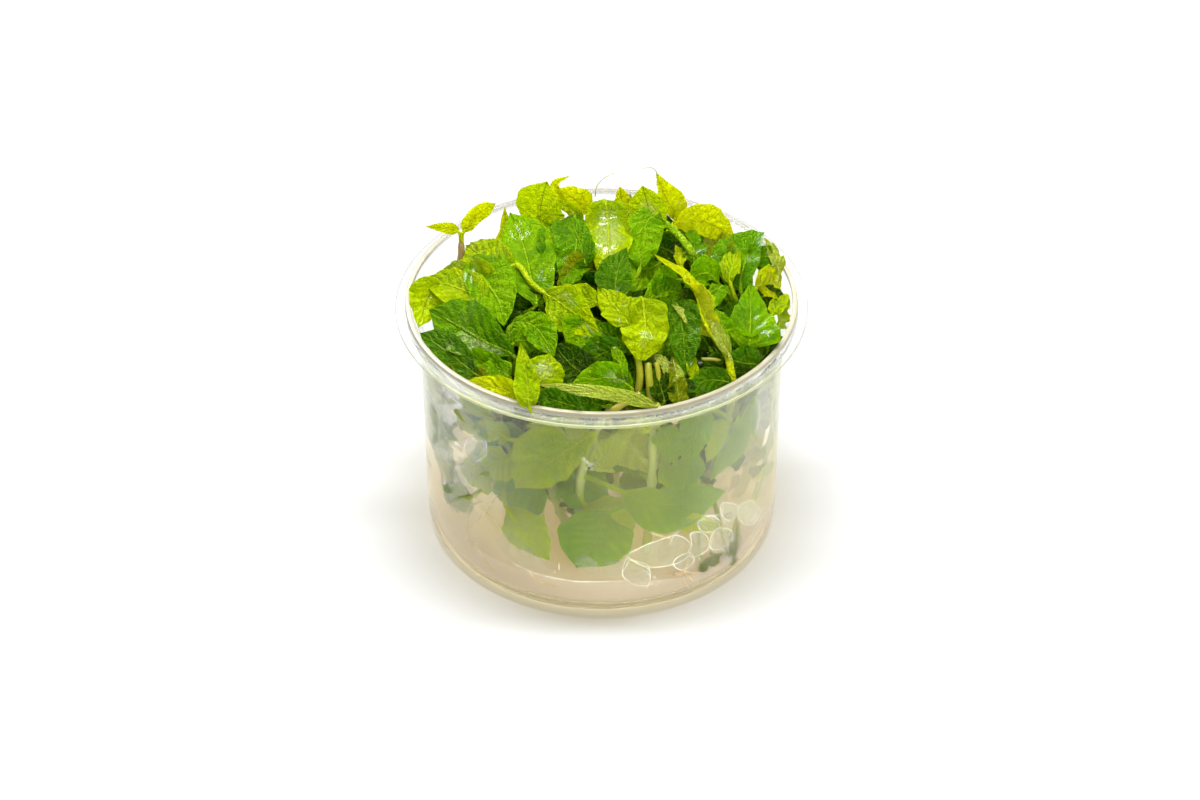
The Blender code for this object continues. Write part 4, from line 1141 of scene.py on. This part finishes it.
    ("fresh", 11, 0.45, [(-15, -34, 34), (-21, -31, 29), (-27, -26, 26)], 12, dict(
        broad, faces=(-1, -3, 1))),
    ("fresh", 11, 0.72, [(-27, -33, 46.5), (-29, -31.5, 49), (-33, -27.5, 49)], 3.4, dict(
        pressed, faces=(-2, -3, 0))),
    ("fresh", 12, 0.6, [(-40.5, -12.5, 30), (-39.5, -16.5, 37.5), (-34.5, -25, 40)], 5.9, dict(
        pressed, faces=(-3, -2, 0))),
    ("fresh", 12, 0.35, [(-38, -19, 22), (-36, -22.5, 21), (-34, -25, 18)], 7.4, dict(
        pressedBroad, faces=(-3, -2, 0))),
    ("fresh", 12, 0.5, [(-41.5, -2, 54), (-42, -6, 47), (-41, -10, 38)], 4.4, dict(
        pressed, faces=(-3, -2, 0))),
    ("pale", 13, 0.68, [(-0.5, -42.5, 45.5), (2, -42.5, 51), (7, -42, 56.5)], 6.4, dict(
        fold=6, faces=(0, -4, 1))),
    ("glow", 8, 0.25, [(19, -38, 26), (23.5, -35, 22.5), (30, -30, 16.5)], 5.4, dict(
        wave=0.4, fold=3, faces=(1, -3, 0))),
    ("olive", 7, 0.2, [(24, -35, 10.5), (27, -32.5, 9), (30.5, -29.5, 9.5)], 4.4, dict(
        pressed, faces=(1, -3, 0))),
    ("olive", 7, 0.35, [(31.5, -28, 4.5), (32.5, -27, 10.5), (33, -26.5, 18.5)], 2.9, dict(
        pressed, faces=(1, -3, 0))),
    ("glow", 6, 0.5, [(41.5, -9, 22), (39, -17.5, 25), (36.5, -22, 25)], 3.4, dict(
        pressed, faces=(3, -2, 0))),
    ("fresh", 11, 0.6, [(-16, -33, 46), (-24, -29, 40), (-31, -22, 33)], 14.7, dict(
        broad, faces=(-1, -3, 1))),
    ("fresh", 8, 0.75, [(13.5, -40.5, 55.5), (15.5, -39.5, 51.5), (17.5, -39, 43.5)], 6.9, dict(
        pressedBroad, faces=(1, -3, 0))),
    ("young", 10, 0.7, [(-21.5, -37, 49.5), (-25.5, -34.5, 50.5), (-31, -29.5, 48.5)], 6.4, dict(
        pressedBroad, faces=(-2, -3, 0))),
    ("young", 7, 0.6, [(28.5, -32, 51.5), (27.5, -32.5, 46), (25, -34.5, 41)], 6.4, dict(
        pressedBroad, faces=(1, -3, 0))),
]
betweenCells = (24, 10)


def growBetween():
    meshes = {}
    for tone, *leaf in betweenLeaves:
        if tone not in meshes:
            meshes[tone] = bmesh.new()
        growLeaf(meshes[tone], *leaf, betweenCells)
    for tone, mesh in meshes.items():
        addPiece("between_leaves_" + tone, mesh, skinFor(tone), slots[tone])


growBetween()
print("leaves between:", len(betweenLeaves))


# inner leaves, in pairs up each stem, hardly seen but they close the clump; their deep and shade tones are
# painted shade

innerLeaves = {
    "seed": 11,
    "pairs": (0.22, 0.36, 0.5, 0.64, 0.78, 0.86, 0.93),
    "bareStem": ("stem_01", 0.6),  # that stem stands bare above its neighbours
    "length": (11.0, 17.0),
    "width": (7.0, 11.0),
    "reach": 37.0,
    "lift": (1.0, 5.0),
    "ceiling": 64.0,
    "stalk": 0.22,
    "wave": 0.6,
    "cells": (14, 8),
}
up = Vector((0.0, 0.0, 1.0))


def growInner(values):
    draw = random.Random(values["seed"])
    reach, ceiling = values["reach"], values["ceiling"]
    meshes = {tone: bmesh.new() for tone in ("mid", "deep", "shade")}
    for name in stemTable:
        turn = draw.uniform(0, math.pi)
        for share in values["pairs"]:
            turn += math.pi / 2 + draw.uniform(-0.3, 0.3)
            if name == values["bareStem"][0] and share > values["bareStem"][1]:
                continue
            start = stemPoint(name, share + draw.uniform(-0.05, 0.05))
            for way in (0.0, math.pi):
                length = draw.uniform(*values["length"])
                width = draw.uniform(*values["width"])
                lift = draw.uniform(*values["lift"])
                out = Vector((math.cos(turn + way), math.sin(turn + way), 0.0))
                tip = start + out * length + up * (lift * 0.7)
                far = math.hypot(tip.x, tip.y)
                if far > reach:  # lean back into the clump
                    tip = Vector((tip.x, tip.y, 0.0)) * (reach / far) + up * (tip.z + far - reach)
                tip.z = min(tip.z, ceiling)
                middle = (start + tip) / 2 + up * (lift * 0.6)
                middle.z = min(middle.z, ceiling + 1.0)
                tone = draw.choice(("mid", "deep", "shade"))
                faces = (0.2 * draw.uniform(-1, 1), -0.3, 1.0)
                addLeaf(meshes[tone], [start, middle, tip], width, faces, values["stalk"],
                        phase=draw.uniform(0, 6), roll=draw.uniform(-25, 25),
                        wave=values["wave"], cells=values["cells"])
    for tone, mesh in meshes.items():
        addPiece("inner_leaves_" + tone, mesh, skinFor(tone), slots[tone])


canopy = {
    "seed": 23,
    "count": 46,
    "goldenTurn": 2.39996,
    "reach": 36.0,
    "edge": 40.0,
    "height": (54.0, 62.0),
    "arch": 1.2,
    "length": (13.0, 18.0),
    "width": (10.0, 13.5),
    "stemShare": 0.82,
    "cells": (16, 8),
}


def growCanopy(values):  # broad leaves spread evenly below the top, so the clump is closed; their dark tones are painted shade
    draw = random.Random(values["seed"])
    meshes = {tone: bmesh.new() for tone in ("deep", "shade")}
    heads = [stemPoint(name, values["stemShare"]) for name in stemTable]
    for index in range(values["count"]):
        reach = values["reach"] * math.sqrt((index + 0.5) / values["count"])
        turn = index * values["goldenTurn"]
        middle = Vector((reach * math.cos(turn), reach * math.sin(turn), draw.uniform(*values["height"])))
        start = min(heads, key=lambda head: (head - middle).length)
        way = draw.uniform(-0.9, 0.9) + turn
        heading = Vector((math.cos(way), math.sin(way), draw.uniform(-0.1, 0.25)))
        out = heading * draw.uniform(*values["length"]) / 2
        width = draw.uniform(*values["width"])
        spots = (middle - out, middle + up * values["arch"], middle + out)
        path = [keepWithin(spot, values["edge"]) for spot in spots]
        tone = draw.choice(("shade", "shade", "deep"))
        faces = (draw.uniform(-1, 1) * 0.5, -0.8, 1.6)
        addLeaf(meshes[tone], [start, *path], width, faces, cells=values["cells"],
                **unevenBends(draw, width, broad))
    for tone, mesh in meshes.items():
        addPiece("canopy_leaves_" + tone, mesh, skinFor(tone), slots[tone])


growInner(innerLeaves)
growCanopy(canopy)
print("inner leaves grown")


# what clings to the inside of the wall; its points are (turn from the front in degrees, height)

wetCells = [
    [(30, 21), (30.5, 17.5), (29.5, 15.8), (31, 13.4), (35, 13.3), (37, 13.8), (37.4, 16.3), (36, 18.6),
     (33, 20.7)],
    [(39.4, 18.6), (43, 18.1), (47, 15.8), (48.6, 12.8), (46, 11.7), (40.6, 12.2), (38, 14.2), (38.2, 16.9)],
    [(30, 15), (26, 15.2), (24, 13.8), (25, 11.7), (27.5, 10.4), (30, 10.9), (31.6, 12.3)],
    [(8, 18.5), (13, 20.8), (19, 22), (25, 22), (29.5, 18.6), (30, 15), (25.8, 13.2), (17.8, 13.6),
     (12.8, 15.3)],
    [(8.2, 17.8), (6.8, 12.8), (10, 9.6), (15, 8.2), (16, 11), (15, 13.8), (11.8, 15.6)],
    [(42.6, 26), (49, 23), (50.8, 19.7), (46.7, 19.1), (42.8, 22)],
    [(50.6, 21.7), (57.8, 20), (63.4, 14.6), (61.4, 11.9), (54.6, 14.1), (50.9, 18.4)],
    [(33.5, 24.2), (38.4, 23.7), (42, 20.4), (40.3, 18.6), (35.2, 19.9), (32.8, 22.3)],
    [(-47.9, 43.2), (-43, 46.8), (-39.6, 45.4), (-40.2, 41.5), (-45.3, 37.9), (-49, 39)],
]
films = [
    [(-77, 25.9), (-61.3, 35), (-52.3, 38.2), (-51.4, 36.2), (-60.3, 30.6), (-74.3, 24.3)],
    [(-52.6, 34), (-47.3, 36.2), (-46.6, 32.2), (-51, 27), (-55.5, 26.8), (-55.2, 30.7)],
    [(1.4, 17), (5.3, 17.4), (7.9, 15.4), (6.6, 12.9), (2.7, 12.5), (0.2, 14.4)],
    [(-6.3, 18.6), (-2.5, 17.6), (-0.5, 15), (-2.5, 13.2), (-6.3, 14.2), (-8.3, 16.6)],
    [(-32, 21), (-24, 18), (-16, 13), (-20, 11.5), (-30, 12.5), (-37, 16)],
    [(42.3, 21.9), (46.6, 21.6), (48.2, 19.7), (47.8, 17), (45.4, 17.1)],
    [(66, 28), (73, 31), (76, 24), (70, 17), (62, 19)],
]
wetLines = [
    [(8, 19.7), (9.5, 17.4), (12.4, 16.1), (15, 14.8), (15.8, 12.5), (15.9, 10)],
    [(9, 17.1), (6.6, 13.3)],
    [(-35, 12.3), (-27.6, 11.3), (-20.4, 10.7), (-13.6, 10.6), (-7, 10.5), (2.7, 10.8), (12.5, 10.6)],
    [(-13.9, 15.6), (-13.9, 13.4)],
    [(26, 23.4), (23.6, 21.8), (22.6, 19.6)],
    [(26, 25), (32.3, 25.3)],
    [(33.4, 25.5), (41.9, 22.7)],
    [(80, 7.5), (66.4, 10.7), (60, 10.3)],
    [(74, 12), (63.5, 13.3), (57.8, 12.5)],
    [(-66, 53), (-63, 46), (-64, 40)],
    [(67, 52), (70, 44), (68, 35)],
]
bubbles = [  # turn, height, radius
    (-5.8, 48.1, 0.5), (-4.6, 47.3, 0.4), (-3.7, 46.4, 0.5), (-2.4, 47.0, 0.35), (-3.0, 45.2, 0.4),
    (-4.9, 45.4, 0.3), (14.1, 13.0, 0.45), (15.8, 11.8, 0.55), (17.6, 10.2, 0.4), (19.3, 8.3, 0.5),
    (16.6, 8.4, 0.35), (14.9, 7.4, 0.45), (12.8, 9.0, 0.3), (-15.5, 12.4, 0.35), (-27.0, 13.4, 0.3),
    (34.0, 11.5, 0.4), (36.5, 10.4, 0.3), (44.5, 10.2, 0.4), (24.6, 9.3, 0.35), (51.5, 24.0, 0.3),
]
rootLines = [
    [(-48, 23.1), (-49.5, 17.8), (-49.8, 13), (-49.6, 9)],
    [(-41, 23.9), (-44.4, 20), (-48.6, 15.7)],
    [(-48, 23.1), (-43.2, 26.2), (-38.7, 27.6), (-35.7, 31.2)],
    [(-41, 23.9), (-38, 23.2), (-36, 20.8)],
    [(-45.2, 23.5), (-42.4, 23.1), (-40, 24.9), (-38.8, 27)],
    [(-57, 17), (-53, 20.5), (-49, 19)],
    [(16, 24.7), (19.5, 23), (23, 21.6)],
    [(27.5, 9.8), (30.2, 7), (33, 4.4)],
    [(27.9, 10), (30.9, 8.4), (34, 7.6)],
    [(27.5, 9.4), (27.9, 6.7), (29.9, 4)],
    [(22, 10.2), (25.3, 9.1), (27.9, 9.3)],
    [(24.5, 10.2), (27.5, 9.8), (29.3, 12.5)],
    [(-24, 10.8), (-21, 8.6), (-15, 7.8)],
    [(-46, 12), (-42, 8.2), (-38, 6.4)],
]
wetShape = {  # radii, how far each stands off the wall, and how far the water bulges from it
    "cellLine": 0.12,
    "line": 0.13,
    "lineGap": 0.2,
    "root": 0.32,
    "waterGap": 0.1,
    "cellBulge": 0.9,
    "filmBulge": 0.3,
}


def wallPoint(turn, height, gap):
    reach = wallRadius(height) - gap
    corner = cup["corner"] - height
    if corner > 0:  # down in the rounded corner
        reach -= cup["corner"] - math.sqrt(max(cup["corner"] ** 2 - corner ** 2, 0.0))
    turn = math.radians(turn)
    return Vector((reach * math.sin(turn), -reach * math.cos(turn), height))


def wetClear(name, veil, colour, paintedGlow=0.0):  # water that hangs as a film; its rims look milky, and rims and drops get a painted glow
    water = finish(name)
    where = water.place()
    ripple = water.noise(where, 260.0, 3.0, 0.5)
    clear = water.surface({
        "Base Color": rgba(0.98, 0.985, 0.96),
        "Roughness": water.ramp(ripple, 0.3, 0.8) * 0.06 + 0.02,
        "IOR": 1.33,
        "Transmission Weight": 1.0,
        "Normal": water.bump(ripple, 0.0003, 0.7),
    })
    clear = water.mix(0.1, water.through("Transparent", 1.0, 1.0, 0.99), clear)
    milk = water.surface({
        "Base Color": water.blend(ripple, rgba(*colour), scaled(colour, 0.94)),
        "Roughness": 0.3,
        "Emission Color": rgba(*colour),
        "Emission Strength": paintedGlow,
    })
    share = water.ramp(water.facing(), 0.35, 0.85) * 0.45 + water.ramp(ripple, 0.35, 0.75) * veil + veil * 0.4
    return water.show(water.mix(share, clear, milk))


def addLens(mesh, outline, bulge):  # water over an outline on the wall, thickest in the middle
    middle = sum((Vector(point) for point in outline), Vector((0, 0))) / len(outline)
    for vert in bmesh.ops.create_uvsphere(mesh, u_segments=32, v_segments=10, radius=1.0)["verts"]:
        turn = math.atan2(vert.co.y, vert.co.x) / (2 * math.pi) % 1.0
        spot = middle + (loopPoint(outline, turn) - middle) * math.hypot(vert.co.x, vert.co.y)
        vert.co = wallPoint(spot.x, spot.y, wetShape["waterGap"] + bulge * max(vert.co.z, 0.0)) * mm


def lineRadius(t):
    return wetShape["line"] * (1 - 0.7 * abs(2 * t - 1) ** 3)


def makeWet():
    cells, flats, rims, drops = (bmesh.new() for kind in range(4))
    gap = wetShape["lineGap"]
    for outline in wetCells:
        addLens(cells, outline, wetShape["cellBulge"])
        rim = [wallPoint(*loopPoint(outline, step / 24), gap) for step in range(25)]
        addRod(rims, rim, lambda t: wetShape["cellLine"], 72, 6)
    for outline in films:
        addLens(flats, outline, wetShape["filmBulge"])
    for path in wetLines:
        addRod(rims, [wallPoint(*point, gap) for point in path], lineRadius, 30, 6)
    for turn, height, size in bubbles:
        verts = bmesh.ops.create_uvsphere(drops, u_segments=16, v_segments=8, radius=size * mm)["verts"]
        spot = wallPoint(turn, height, size + wetShape["waterGap"])
        bmesh.ops.translate(drops, verts=verts, vec=spot * mm)
    for mesh in (cells, flats, drops):
        bmesh.ops.recalc_face_normals(mesh, faces=mesh.faces)
    addPiece("wet_cells", cells, wetClear("waterCells", 0.1, (0.95, 0.95, 0.80)), "cup")
    addPiece("wet_films", flats, wetClear("waterFilms", 0.08, (0.93, 0.93, 0.76)), "cup")
    # the rims and drops glow a little: painted light
    addPiece("wet_rims", rims, wetClear("waterRims", 0.8, (0.97, 0.95, 0.80), 0.2), "cup")
    addPiece("bubbles", drops, wetClear("waterDrops", 0.3, (1.0, 0.98, 0.88), 0.25), "cup")


def rootSkin():
    root = finish("rootSkin")
    fleck = root.noise(root.place(), 500.0, 3.0)
    body = root.surface({
        "Base Color": root.blend(root.ramp(fleck, 0.3, 0.7), rgba(0.95, 0.84, 0.58), rgba(0.60, 0.40, 0.17)),
        "Roughness": root.ramp(fleck, 0.3, 0.8) * 0.2 + 0.4,
        "Normal": root.bump(fleck, 0.0001, 0.6),
    })
    return root.show(root.mix(0.4, body, root.through("Translucent", 0.92, 0.82, 0.55)))


def makeRoots():
    mesh = bmesh.new()
    size = wetShape["root"]
    for path in rootLines:
        addRod(mesh, [wallPoint(*point, size) for point in path], lambda t: size * (1 - 0.45 * t), 30, 6)
    addPiece("root_fibres", mesh, rootSkin(), "stem")


looseStalks = [  # path and radius
    ([(8.2, -36.5, 62), (8.9, -35.5, 67.5), (8.2, -33, 71)], 0.85),
    ([(11.6, -38.5, 61), (11.2, -37.5, 66), (10.8, -34, 69.5)], 0.95),
    ([(13.2, -38.5, 61), (13.4, -37, 65.5), (12.8, -33.5, 69.5)], 0.7),
    ([(32, -29.5, 60), (30.6, -29.5, 63.5), (27.7, -28.5, 66.4), (23.5, -28, 66.6)], 0.45),
    ([(2, -41.5, 61.5), (5.5, -40.5, 63), (9, -39, 64.5)], 0.9),
]
threads = [
    [(-1.6, 30, 74), (-1.2, 30, 77), (0.8, 30, 79.6), (3.2, 30, 81)],
    [(13.6, 30, 79.5), (13.4, 30, 81.5), (12, 30, 82.6), (10.2, 30, 82.2)],
]
threadShape = (0.14, 0.07)  # radius at the start, and how much less it is at the end
strawColours = ((0.26, 0.28, 0.01), (0.44, 0.40, 0.03))


def makeLoose():
    mesh = bmesh.new()
    for path, radius in looseStalks:
        addRod(mesh, [Vector(point) for point in path], lambda t: radius * (1.1 - 0.2 * t), 24, 12)
    addPiece("loose_stalks", mesh, stemSkin("skin_loose", 0.8, *strawColours), "stem")
    mesh = bmesh.new()
    thick, taper = threadShape
    for path in threads:
        addRod(mesh, [Vector(point) for point in path], lambda t: thick - taper * t, 24, 6)
    addPiece("threads", mesh, stemSkin("skin_thread", 0.1), "stem")


makeWet()
makeRoots()
makeLoose()
print("films and roots on the wall:", len(wetCells) + len(films), len(rootLines))
